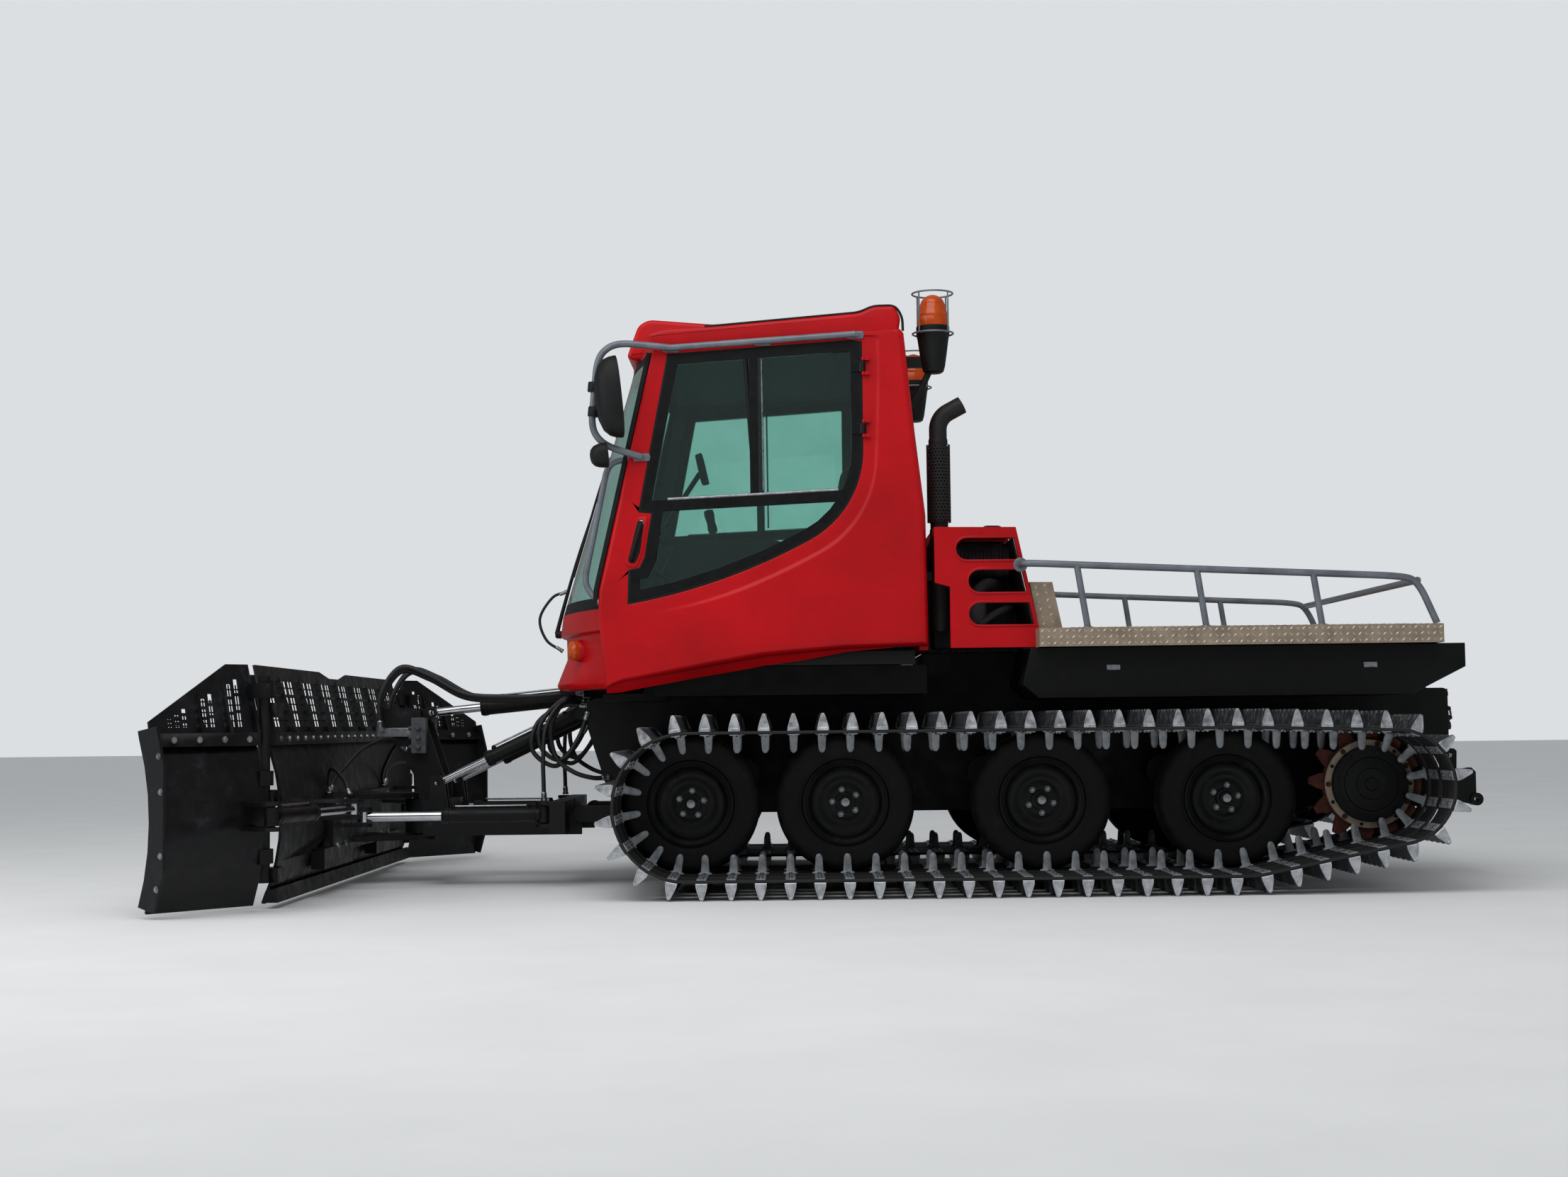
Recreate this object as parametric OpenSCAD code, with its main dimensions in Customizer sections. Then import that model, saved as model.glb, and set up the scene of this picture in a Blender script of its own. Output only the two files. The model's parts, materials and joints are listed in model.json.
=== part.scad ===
// Snowcat groomer on rubber tracks, with a winged blade on a push frame and a cargo deck.
// X runs forward, Y to the machine's left, Z up from the tips of the track bars.

/* [Running gear] */
// Radius of a tyre
tyre_r = 305; // [285:1:312]
// Width of a tyre
tyre_w = 180; // [150:1:190]
// Radius of a rim at its edge
rim_r = 186; // [170:1:200]
// From the middle plane to the middle of the tyres
tyre_y = 900; // [880:1:915]
// Place of the first axle along the machine
front_axle_x = 778; // [760:1:790]
// Steps of the four axles behind the first
axle_steps = [0, 681, 1546, 2361];
// Step of the sprocket behind the first axle
sprocket_step = 2994; // [2960:1:3020]
// Height of the sprocket's centre over the axles
sprocket_rise = 55; // [30:1:80]
// Teeth of a sprocket
teeth = 12; // [12:1:12]
// Radius at the tips of the teeth
tooth_tip_r = 262; // [255:1:266]
// Thickness of a sprocket's plate
sprocket_t = 30; // [20:1:36]
// Radius of the final drive's drum
drum_r = 165; // [150:1:172]

/* [Tracks] */
// Distance between two track bars
bar_pitch = 125; // [115:1:135]
// Height of a track bar over its belt
bar_h = 75; // [60:1:80]
// Width of a track bar at its foot
bar_foot = 52; // [44:1:60]
// Width of a track bar at its edge
bar_edge = 14; // [8:1:20]
// Thickness of the rubber belts
belt_t = 12; // [10:1:16]
// Width of a track
track_w = 1000; // [980:1:1020]
// From the middle plane to the middle of a track
track_y = 930; // [925:1:940]
// Height of a guide horn inside the track
horn_h = 95; // [80:1:105]
// Width of a guide horn at its foot
horn_foot = 40; // [30:1:46]
// Thickness of a guide horn across the machine
horn_t = 24; // [16:1:28]
// Clearance between a guide horn and a tyre
horn_gap = 12; // [8:1:20]
// Width of the open row in the belts where the sprocket's teeth reach through
tooth_row = 60; // [50:1:70]

/* [Chassis] */
// Half width of the frame between the tracks
frame_y = 380; // [360:1:400]
// Underside of the frame
frame_z = 330; // [300:1:340]
// Top of the frame, where the cab and the deck sit
frame_top = 1030; // [1010:1:1035]
// Rear end of the frame
frame_rear_x = -2740; // [-2760:5:-2700]
// Plate thickness of the frame
frame_t = 12; // [8:1:16]

/* [Cab] */
// Half width of the cab
cab_y = 950; // [930:1:970]
// Thickness of the cab's walls
wall_t = 50; // [40:1:60]
// Thickness of a door
door_t = 36; // [30:1:40]
// Gap round a door
door_gap = 7; // [6:1:10]
// Width of a door's frame
door_rim = 42; // [34:1:50]
// Thickness of the glass
glass_t = 6; // [5:1:8]

/* [Deck] */
// Half width of the deck
deck_y = 1100; // [1050:1:1120]
// Top of the deck
deck_z = 1146; // [1140:1:1160]
// Height of the deck's lip
deck_lip = 82; // [70:1:90]
// Front end of the deck
deck_front_x = -756; // [-760:1:-750]
// Rear end of the deck
deck_rear_x = -2520; // [-2540:1:-2500]
// Radius of the railing's tubes
rail_r = 16; // [13:1:18]

/* [Blade] */
// Half width of the blade between the wing hinges
blade_y = 1600; // [1560:1:1620]
// Length of a wing from its hinge
wing_l = 550; // [500:1:580]
// Swing of the wings as parked, the left one forward and the right one back
wing_swing = 40; // [35:1:45]
// Height of the blade's upper rail
rail_z = 727; // [700:1:740]
// Top of the blade's grille
grille_z = 1010; // [980:1:1030]
// Lower edge of the blade over the ground
blade_z = 25; // [10:1:60]
// Thickness of the blade's plate
blade_t = 12; // [8:1:16]

/* [Hidden] */

seat = 0.3;      // clearance of a piece on its seat
run = 6;         // clearance of a piece that moves past another
fit = 0.05;      // clearance of a pin in its bore
past = 5;        // how far a cutter reaches past a face
red = "#b8121a";
black = "#16171a";
steel = "#8d9094";
rubber = "#1b1b1c";

// Wheel and sprocket places in the side view
axle_z = bar_h + belt_t + seat + tyre_r;
axles = [for (s = axle_steps) [front_axle_x - s, axle_z]];
sprocket_c = [front_axle_x - sprocket_step, axle_z + sprocket_rise];
belt_r = teeth * bar_pitch / (2 * PI) - belt_t / 2;   // inside of the belt round the sprocket
wheel_r = tyre_r + seat;                              // inside of the belt round the tyres

function unit(a) = [cos(a), sin(a)];
function arc(c, r, a0, a1, n) = [for (i = [0:n]) c + r * unit(a0 + (a1 - a0) * i / n)];
function rot(p, a) = [p[0] * cos(a) - p[1] * sin(a), p[0] * sin(a) + p[1] * cos(a)];
function sum(v, i = 0) = i < len(v) ? v[i] + sum(v, i + 1) : 0;

// Moves every side of a closed outline inward by d, for outlines that run anticlockwise
function side_n(a, b) = [a[1] - b[1], b[0] - a[0]] / norm(b - a);
function meet(b, n1, n2, d) = b + (n1 + n2) * d / (1 + n1 * n2);
function inset(p, d) = let (n = len(p)) [
    for (i = [0:n - 1])
        meet(p[i], side_n(p[(i + n - 1) % n], p[i]), side_n(p[i], p[(i + 1) % n]), d)
];

// Draws its children on both sides of the middle plane
module both() {
    children();
    mirror([0, 1, 0]) children();
}

// Side view outline, drawn in X and Z, given a thickness from y0 to y1
module slab(y0, y1, outline) {
    translate([0, y1, 0]) rotate([90, 0, 0]) linear_extrude(y1 - y0) polygon(outline);
}

module plate(y0, y1) {
    translate([0, y1, 0]) rotate([90, 0, 0]) linear_extrude(y1 - y0) children();
}

// Round bar between two points
module bar(a, b, r) {
    d = b - a;
    translate(a)
        rotate([0, acos(d[2] / norm(d)), atan2(d[1], d[0])])
            cylinder(h = norm(d), r = r, $fn = 24);
}

// Round bar that runs a little past both points, to join the next one in a bend
module tube(a, b, r) {
    u = (b - a) / norm(b - a);
    bar(a - 0.4 * r * u, b + 0.4 * r * u, r);
}

// Round bar across the machine at a side view point
module pin(c, y0, y1, r) {
    translate([c[0], y1, c[1]]) rotate([90, 0, 0]) cylinder(h = y1 - y0, r = r, $fn = 36);
}

// Sheet that bulges forward in plan: rows hold height, place at the sides, place in the middle
module bowed_sheet(rows, half, t, n = 10) {
    m = len(rows);
    w = n + 1;
    pts = [
        for (back = [0, t]) for (r = rows) for (j = [0:n])
            let (v = 2 * j / n - 1)
                [r[1] + (r[2] - r[1]) * (1 - v * v) - back, v * half, r[0]]
    ];
    k = m * w;
    quads = concat(
        [for (i = [0:m - 2]) for (j = [0:n - 1])
            [i * w + j, (i + 1) * w + j, (i + 1) * w + j + 1, i * w + j + 1]],
        [for (i = [0:m - 2]) for (j = [0:n - 1])
            [k + i * w + j, k + i * w + j + 1, k + (i + 1) * w + j + 1, k + (i + 1) * w + j]],
        [for (j = [0:n - 1]) [j, j + 1, k + j + 1, k + j]],
        [for (j = [0:n - 1]) let (b = (m - 1) * w + j) [b, k + b, k + b + 1, b + 1]],
        [for (i = [0:m - 2]) let (b = i * w) [b, k + b, k + b + w, b + w]],
        [for (i = [0:m - 2]) let (b = i * w + n) [b, b + w, k + b + w, k + b]]
    );
    polyhedron(pts, [for (q = quads) for (h = [[0, 1, 2], [0, 2, 3]]) [for (i = h) q[i]]]);
}

// Track path: it runs back along the ground, up round the sprocket and forward to the first tyre
link_v = sprocket_c - axles[3];
link_a = atan2(link_v[1], link_v[0]);
link_k = (wheel_r - belt_r) / norm(link_v);
low_a = link_a + acos(link_k);
high_a = link_a - acos(link_k);
link_l = sqrt(link_v * link_v - pow(wheel_r - belt_r, 2));
base_l = axle_steps[3];
// Columns: centre of the bend, its inner radius, its first and last angle, length of the run before it
bends = [
    [axles[3], wheel_r, 270, low_a, base_l],
    [sprocket_c, belt_r, low_a, high_a, link_l],
    [axles[3], wheel_r, high_a, 90, link_l],
    [axles[0], wheel_r, 90, -90, base_l]
];
function bend_l(b) = (b[2] - b[3]) * PI / 180 * (b[1] + belt_t / 2);
loop_l = sum([for (b = bends) b[4] + bend_l(b)]);
bars = round(loop_l / bar_pitch);
step = loop_l / bars;

// Place and outward direction on the path at length s, as centre, radius and angle
function on_path(s, i = 0) =
    let (b = bends[i], left = s - b[4])
    s <= b[4] ? [b[0] + (b[4] - s) * [sin(b[2]), -cos(b[2])] * -1, b[1], b[2]]
    : left <= bend_l(b) ? [b[0], b[1], b[2] - left / (b[1] + belt_t / 2) * 180 / PI]
    : on_path(left - bend_l(b), i + 1);
function path_pt(s, d) = let (q = on_path((s + loop_l) % loop_l)) q[0] + (q[1] + d) * unit(q[2]);
function crest(s, d, e) =
    let (q = on_path((s + loop_l) % loop_l))
    q[0] + (q[1] + d) * unit(q[2]) + e * [sin(q[2]), -cos(q[2])];

belt_outer = [
    for (i = [0:bars - 1]) for (e = [-bar_foot / 2, bar_foot / 2]) path_pt((i + 0.5) * step + e, belt_t)
];
shoe_outline = [
    for (i = [0:bars - 1]) let (s = (i + 0.5) * step) each [
        path_pt(s - bar_foot / 2, belt_t),
        crest(s, belt_t + bar_h, -bar_edge / 2),
        crest(s, belt_t + bar_h, bar_edge / 2),
        path_pt(s + bar_foot / 2, belt_t)
    ]
];
function bend_pts(b, n, d) = arc(b[0], (b[1] + d) / cos((b[2] - b[3]) / n / 2), b[2], b[3], n);
belt_inner = concat(
    bend_pts(bends[0], 1, 0), bend_pts(bends[1], 9, 0), bend_pts(bends[2], 1, 0), bend_pts(bends[3], 12, 0)
);
belt_core = concat(
    bend_pts(bends[0], 1, -past), bend_pts(bends[1], 9, -past),
    bend_pts(bends[2], 1, -past), bend_pts(bends[3], 12, -past)
);

// Guide horn on the inside of the belt at length s
module horn(s) {
    polygon([
        crest(s, belt_t / 2, -horn_foot / 2), crest(s, -horn_h, -horn_foot / 4),
        crest(s, -horn_h, horn_foot / 4), crest(s, belt_t / 2, horn_foot / 2)
    ]);
}

module track() {
    color(rubber) difference() {
        plate(track_y - track_w / 2, track_y + track_w / 2) difference() {
            polygon(shoe_outline);
            polygon(belt_inner);
        }
        plate(tyre_y - tooth_row / 2, tyre_y + tooth_row / 2) difference() {
            polygon(belt_outer);
            polygon(belt_core);
        }
    }
    horn_y = tyre_y + tyre_w / 2 + horn_gap;
    color(steel) plate(horn_y, horn_y + horn_t) for (i = [0:bars - 1]) horn((i + 0.5) * step);
}

module track_left() { track(); }
module track_right() { mirror([0, 1, 0]) track(); }

// Tyre and rim profiles hold radius and place along the axle, outward
bead_r = rim_r - 16;
bead_w = tyre_w - 50;
module wheel_turn(c, y) {
    translate([c[0], y, c[1]]) rotate([-90, 0, 0]) rotate_extrude($fn = 48) children();
}

// Ring solid with flat facets. A profile holds radius and place along the axle
tyre_n = 28;
module facet_ring(profile) {
    m = len(profile);
    pts = [for (i = [0:tyre_n - 1]) for (p = profile)
        [p[0] * cos(i * 360 / tyre_n), p[0] * sin(i * 360 / tyre_n), p[1]]];
    quads = [for (i = [0:tyre_n - 1]) for (j = [0:m - 1])
        let (i2 = (i + 1) % tyre_n, j2 = (j + 1) % m)
            [i * m + j, i * m + j2, i2 * m + j2, i2 * m + j]];
    polyhedron(pts, [for (q = quads) for (h = [[0, 2, 1], [0, 3, 2]]) [for (i = h) q[i]]]);
}
module tyres() {
    shoulder = tyre_w / 2 - 36;
    bore_r = (bead_r + seat) / cos(180 / tyre_n);
    color(rubber) both() for (c = axles)
        translate([c[0], tyre_y, c[1]]) rotate([-90, 0, 0]) facet_ring([
            [bore_r, -bead_w / 2], [bore_r, bead_w / 2], [rim_r + 3, bead_w / 2], [rim_r + 20, tyre_w / 2],
            [tyre_r - 42, tyre_w / 2], [tyre_r, shoulder], [tyre_r, -shoulder], [tyre_r - 42, -tyre_w / 2],
            [rim_r + 20, -tyre_w / 2], [rim_r + 3, -bead_w / 2]
        ]);
}

hub_r = 62;
hub_in = -30;    // inner face of the hub, measured outward from the middle of the tyre
module rims() {
    flange = bead_w / 2 + seat;
    color(steel) both() for (c = axles)
        wheel_turn(c, tyre_y)
            polygon([
                [0, hub_in], [hub_r, hub_in], [hub_r + 12, 4], [bead_r - 30, 14],
                [bead_r - 16, -flange - 4], [rim_r, -flange - 8], [rim_r, -flange - 1],
                [bead_r, -flange], [bead_r, flange], [rim_r, flange + 1], [rim_r, flange + 14],
                [bead_r - 14, flange - 6], [bead_r - 40, 34], [hub_r, 22], [30, 44], [28, 62], [0, 64]
            ]);
}

// Arms that carry the tyres, each on a cross tube of the frame
arm_y = 610;     // inner face of an arm
arm_t = 50;      // thickness of an arm
arm_pivot = [230, 120];   // from the axle up and back or forward to the arm's pivot
stub_r = 26;
module wheel_arm(c, dir) {
    p = c + [arm_pivot[0] * dir, arm_pivot[1]];
    pin(c, arm_y, tyre_y + hub_in - seat, stub_r);
    pin(c, arm_y, arm_y + arm_t + 30, 62);
    pin(p, frame_y + seat, arm_y + arm_t, 55);
    pin(p, arm_y, arm_y + arm_t, 72);
    side = rot((p - c) / norm(p - c), 90);
    difference() {
        slab(arm_y, arm_y + arm_t, dir < 0 ? [c - 50 * side, c + 50 * side, p + 62 * side, p - 62 * side]
            : [c + 50 * side, c - 50 * side, p - 62 * side, p + 62 * side]);
        pin((c + p) / 2, arm_y - past, arm_y + arm_t + past, 26);
    }
}

module wheel_arms() {
    color(black) both() {
        wheel_arm(axles[0], -1);
        wheel_arm(axles[1], -1);
        wheel_arm(axles[2], 1);
        wheel_arm(axles[3], 1);
    }
}

// Sprocket: a toothed plate on the drum of its final drive
on_sprocket_s = bends[0][4] + bend_l(bends[0]) + bends[1][4];
first_bar = ceil(on_sprocket_s / step - 0.5);
first_bar_a = on_path((first_bar + 0.5) * step)[2];
tooth_a0 = first_bar_a + 180 / teeth;
root_r = 200;
module sprockets() {
    color("#5a2a22") both() plate(tyre_y - sprocket_t / 2, tyre_y + sprocket_t / 2)
        translate(sprocket_c) difference() {
            polygon([for (i = [0:teeth - 1]) let (a = tooth_a0 + i * 360 / teeth) each [
                root_r * unit(a - 11), (root_r + 24) * unit(a - 8), tooth_tip_r * unit(a - 3),
                tooth_tip_r * unit(a + 3), (root_r + 24) * unit(a + 8), root_r * unit(a + 11)
            ]]);
            circle(drum_r + seat, $fn = 48);
        }
}

module final_drives() {
    color(black) both() {
        pin(sprocket_c, tyre_y - 90, tyre_y + 78, drum_r);
        pin(sprocket_c, frame_y + seat, tyre_y - 90, 110);
        pin(sprocket_c, tyre_y + sprocket_t / 2 + seat, tyre_y + sprocket_t / 2 + 22, drum_r + 15);
    }
}

// Frame: a plate tub between the tracks, open at the top, with a wide top frame for cab and deck
tub = [
    [1130, frame_z], [1190, 427], [1290, 743], [1290, 850], [1250, frame_top - 160],
    [frame_rear_x, frame_top - 160], [frame_rear_x, 660], [-2500, frame_z + 20], [-2400, frame_z]
];
lift_pivot = [1320, 330];      // push frame hinge
pivot_y = 328;                 // middle and width of the push frame's hinge plates
pivot_w = 24;
lift_foot = [1320, 800];       // upper pin of the lift cylinders
top_foot = [1335, 885];        // rear pin of the top cylinder
rear_pivot = [-2620, 430];     // rear lift hinge
rear_pivot_y = 292;            // middle and width of the rear lift's arms
rear_pivot_w = 50;
rear_foot = [-2808, 850];      // upper pin of the rear cylinder
sub_y = 760;                   // half width of the cab's subframe
cab_rear_x = -283;
bay_x = [-900, -310];          // opening over the engine

pin_r = 15;                    // pins in the feet of the cylinders
pivot_pin_r = 20;              // pins of the push frame and the rear lift

// Ears on both sides of y, w apart, with a pin between them
module ears(c, root_x, y, w, t, r, pr) {
    for (y0 = [y - w / 2 - t, y + w / 2]) plate(y0, y0 + t) {
        translate(c) circle(r, $fn = 32);
        translate([min(c[0], root_x), c[1] - r]) square([abs(root_x - c[0]), 2 * r]);
    }
    pin(c, y - w / 2 - t, y + w / 2 + t, pr);
}

module chassis_frame() {
    color(black) {
        difference() {
            slab(-frame_y, frame_y, [for (p = tub) [p[0], min(p[1], frame_top - 160)]]);
            translate([-2300, -frame_y + frame_t, frame_z + frame_t])
                cube([3350, 2 * (frame_y - frame_t), 700]);
        }
        // Subframe of the cab and top plate under the engine and the deck
        difference() {
            translate([cab_rear_x, -sub_y, frame_top - 160]) cube([1230, 2 * sub_y, 130]);
            translate([cab_rear_x + 40, -frame_y + 40, frame_top - 170])
                cube([1150, 2 * frame_y - 80, 150]);
        }
        difference() {
            translate([deck_rear_x - 120, -frame_y, frame_top - 160])
                cube([cab_rear_x - deck_rear_x + 120, 2 * frame_y, 190]);
            translate([bay_x[0], -frame_y + 40, frame_top - 170])
                cube([bay_x[1] - bay_x[0], 2 * frame_y - 80, 220]);
        }
        both() {
            ears(lift_pivot, 1150, pivot_y, pivot_w + 2 * run, 28, 36, pivot_pin_r);
            ears(lift_foot, 1260, lift_y, foot_w + 2 * run, fork_t, 30, pin_r);
            ears(rear_pivot, -2500, rear_pivot_y, rear_pivot_w + 2 * run, 22, 38, pivot_pin_r);
        }
        ears(top_foot, 1240, 0, foot_w + 2 * run, fork_t, 30, pin_r);
        ears(rear_foot, frame_rear_x + 10, 0, foot_w + 2 * run, fork_t, 30, pin_r);
    }
}

box_top = deck_z - deck_lip - seat;
module side_boxes() {
    color(black) both()
        slab(frame_y + seat, 1000, [
            [-690, 900], [-730, box_top], [-2640, box_top], [-2640, 960], [-2400, 840], [-760, 840]
        ]);
}

// Cab outlines in the side view
cab_front_low = [1150, 905];
cab_front_mid = [1187, 1244];
pillar_low = [1182, 1342];
pillar_top = [938, 2398];
side_outline = [
    pillar_top, [935, 2425], [-168, 2495], [-179, 2551], [-236, 2023], [-277, 1661], [-283, 1079],
    [84, 1069], [446, 1038], [1080, 932], cab_front_low, cab_front_mid, pillar_low
];
roof_outline = [
    [935, 2425.3], [960, 2490], [880, 2512], [644, 2523], [6, 2575], [-54, 2603],
    [-151, 2605], [-178.7, 2551.3], [-167.7, 2495.3]
];
brow_z = 2425;        // underside of the brow over the windscreen
brow = [926, 1075];   // its front at the sides and in the middle
visor_outline = [
    [640, 2500], [655, 2590], [971, 2617], [1020, 2590], [1075, 2440], [1040, brow_z], [900, brow_z + 5]
];

// Door outline, anticlockwise: a swept lower edge, and a notch at the front for the handle
door_rear_x = 6;
sweep_r = 450;
sweep_c = [door_rear_x + sweep_r, 1960];
sweep_a = 62;
sweep_end = sweep_c + sweep_r * unit(180 + sweep_a);
hem_r = 2700;
hem_c = sweep_end - hem_r * unit(180 + sweep_a);
door_outline = concat(
    [[860, 2390], [56, 2443], [door_rear_x, 2436]],
    arc(sweep_c, sweep_r, 180, 180 + sweep_a, 6),
    [for (p = arc(hem_c, hem_r, 180 + sweep_a, 198 + sweep_a, 4)) if (p[0] > sweep_end[0] + 1) p],
    [[1039, 1425], [992, 1434], [967, 1484], [933, 1688], [992, 1694]]
);
rail_low = [[1100, 1684], [-100, 1737]];
rail_high = [[1100, 1732], [-100, 1785]];
door_bar = [rail_low[1], rail_low[0], rail_high[0], rail_high[1]];
mullion = [[505, 2500], [465, 2500], [462, 1740], [502, 1740]];
door_in = cab_y - door_t;      // inner face of a door

// Door hinges: a knuckle on the door turns on a pin between two lugs of the cab's side
door_pin = [door_rear_x - 14, cab_y + 14];
door_pin_r = 6;
knuckle_r = 9;
knuckle_h = 48;
hinge_zs = [2050, 2330];
module hinge_lugs() {
    for (z = hinge_zs) {
        for (z0 = [z - knuckle_h / 2 - 16, z + knuckle_h / 2 + 2]) translate([0, 0, z0]) {
            translate(door_pin) cylinder(h = 14, r = knuckle_r, $fn = 24);
            translate([door_pin[0] - 26, cab_y - 1, 0]) cube([26, door_pin[1] + knuckle_r - cab_y + 1, 14]);
        }
        translate([door_pin[0], door_pin[1], z - knuckle_h / 2 - 16])
            cylinder(h = knuckle_h + 32, r = door_pin_r, $fn = 24);
    }
}
module knuckles() {
    for (z = hinge_zs) translate([0, 0, z - knuckle_h / 2]) linear_extrude(knuckle_h) difference() {
        union() {
            translate(door_pin) circle(knuckle_r, $fn = 24);
            polygon([
                door_pin + [0, -knuckle_r], [door_rear_x + 2, cab_y], [door_rear_x + 40, cab_y],
                [door_rear_x + 40, cab_y + 9], [door_rear_x + 4, cab_y + 9], door_pin + [0, knuckle_r]
            ]);
        }
        translate(door_pin) circle(door_pin_r + fit, $fn = 24);
    }
}
module cab_side(sign) {
    color(red) mirror([0, sign < 0 ? 1 : 0, 0]) {
        difference() {
            slab(cab_y - wall_t, cab_y, side_outline);
            slab(cab_y - wall_t - past, cab_y + past, inset(door_outline, -door_gap));
        }
        hinge_lugs();
    }
}
module cab_side_left() { cab_side(1); }
module cab_side_right() { cab_side(-1); }

module door() {
    color(black) knuckles();
    color(black) difference() {
        slab(door_in, cab_y + 2, door_outline);
        difference() {
            slab(door_in - past, cab_y + past, inset(door_outline, door_rim));
            slab(door_in - 2 * past, cab_y + 2 * past, door_bar);
            slab(door_in - 2 * past, cab_y + 2 * past, mullion);
        }
    }
}
glass_y = cab_y - 20;
module door_glass() {
    color([0.6, 0.75, 0.72, 0.4]) difference() {
        slab(glass_y, glass_y + glass_t, inset(door_outline, door_rim + seat));
        slab(glass_y - past, glass_y + glass_t + past, inset(door_bar, -seat));
        slab(glass_y - past, glass_y + glass_t + past, inset(mullion, -seat));
    }
}
module door_left() { door(); }
module door_right() { mirror([0, 1, 0]) door(); }
module door_glass_left() { door_glass(); }
module door_glass_right() { mirror([0, 1, 0]) door_glass(); }

inner_y = cab_y - wall_t - seat;
module cab_floor() {
    color(black) difference() {
        union() {
            translate([cab_rear_x + 60, -inner_y, frame_top + seat - 30]) cube([1330, 2 * inner_y, 60]);
            translate([1100, -640, frame_top + seat - 30]) cube([135, 1280, 60]);
        }
        translate([cab_rear_x, -sub_y - seat, frame_top - 60])
            cube([1230 + seat, 2 * (sub_y + seat), 60 + seat]);
    }
}

// Columns: height, place at the sides, place in the middle
nose_rows = [
    [905, 1140, 1440], [935, 1150, 1458], [1030, 1165, 1448], [1172, 1182, 1437], [1262, 1178, 1428]
];
nose_n = 10;
// Front of the nose at a place across and a height over its third row
function nose_x(y, z) =
    let (t = (z - nose_rows[2][0]) / (nose_rows[3][0] - nose_rows[2][0]),
        r = nose_rows[2] + t * (nose_rows[3] - nose_rows[2]),
        u = abs(y) / inner_y * nose_n / 2, k = floor(u),
        bow = function(i) 1 - pow(2 * i / nose_n, 2))
    r[1] + (r[2] - r[1]) * (bow(k) + (u - k) * (bow(k + 1) - bow(k)));
side_lamp = [nose_x(620, 1085), 620, 1085];
side_lamp_r = 45;
side_lamp_turn = atan2(nose_x(560, 1085) - nose_x(680, 1085), 120);
module side_lamp(r, back, front) {
    translate(side_lamp) rotate([0, 90, side_lamp_turn]) translate([0, 0, -back])
        cylinder(h = back + front, r = r, $fn = 32);
}
module cab_nose() {
    color(red) difference() {
        bowed_sheet(nose_rows, inner_y, 45, nose_n);
        both() side_lamp(side_lamp_r + seat, 12, 40);
        // Notch over the top cylinder
        translate([1300, -70, 880]) cube([250, 140, 110]);
    }
}

module windscreen() {
    color([0.6, 0.75, 0.72, 0.4]) bowed_sheet([[1262.3, 1176, 1426], [brow_z - seat, brow[0], brow[1]]], inner_y, glass_t);
}

module cab_roof() {
    color(red) {
        difference() {
            slab(-cab_y, cab_y, roof_outline);
            slab(-cab_y + wall_t, cab_y - wall_t, inset(roof_outline, 28));
            slab(-cab_y + wall_t, cab_y - wall_t, [[880, 2400], [880, 2470], [-110, 2540], [-110, 2400]]);
        }
        difference() {
            union() {
                slab(-620, 620, visor_outline);
                // Brow along the windscreen's upper edge
                translate([0, 0, brow_z]) linear_extrude(44) polygon(concat(
                    [for (j = [0:10]) let (v = j / 5 - 1)
                        [brow[0] + (brow[1] - brow[0]) * (1 - v * v) + 3, v * (cab_y - wall_t)]],
                    [[900, cab_y - wall_t], [900, wall_t - cab_y]]
                ));
            }
            both() work_lamp(work_lamp_r + seat, 30, 80);
        }
    }
}

// Back of the cab at a height over its bend
function rear_x(z) = -236 + (z - 2023) * 57 / 528;
wall_top = 2494.7;
module cab_rear_wall() {
    color(red) difference() {
        slab(-inner_y, inner_y, [
            [rear_x(wall_top) + 8, wall_top], [rear_x(wall_top), wall_top], [-236, 2023], [-277, 1661],
            [-283, 1061], [-243, 1061], [-237, 1661], [-196, 2023], [rear_x(wall_top) + 40, wall_top - 3]
        ]);
        translate([-400, -560, 1780]) cube([400, 1120, 570]);
    }
}

module rear_window() {
    color([0.6, 0.75, 0.72, 0.4])
        slab(-560 + seat, 560 - seat, [
            [-214, 2023], [-233, 1780.3], [-227, 1780.3], [-208, 2023], [-168, 2349.7], [-174, 2349.7]
        ]);
}

// Steering column, from the wheel's centre down into the dashboard
column_r = 24;
wheel_c = [905, 330, 1420];
wheel_lean = -32;
module column(r, more) {
    translate(wheel_c) rotate([0, wheel_lean, 0]) translate([0, 0, -175 - more])
        cylinder(h = 170 + more, r = r, $fn = 24);
}
module dashboard() {
    color(black) difference() {
        slab(-700, 700, [
            [1230, 1061], [1230, 1240], [1180, 1300], [1010, 1330], [930, 1290], [990, 1200], [1100, 1120],
            [1100, 1061]
        ]);
        column(column_r + seat, 20);
    }
}

module steering() {
    color(black) translate(wheel_c) rotate([0, wheel_lean, 0]) {
        rotate_extrude($fn = 36) polygon([for (i = [0:7]) [175 + 14 * cos(45 * i), 14 * sin(45 * i)]]);
        cylinder(h = 30, r = 36, center = true, $fn = 24);
        for (a = [0, 120, 240]) rotate([0, 0, a]) translate([30, -12, -6]) cube([140, 24, 12]);
    }
    color(black) column(column_r, 0);
}

module seats() {
    color("#2a2b2e") both() {
        translate([190, 150, 1061]) cube([360, 360, 190]);
        translate([150, 110, 1251 + seat]) cube([470, 460, 130]);
        slab(110, 570, [[150, 1251.3], [190, 1251.3], [190, 1390], [80, 1950], [0, 1950], [40, 1390]]);
    }
}

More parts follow.
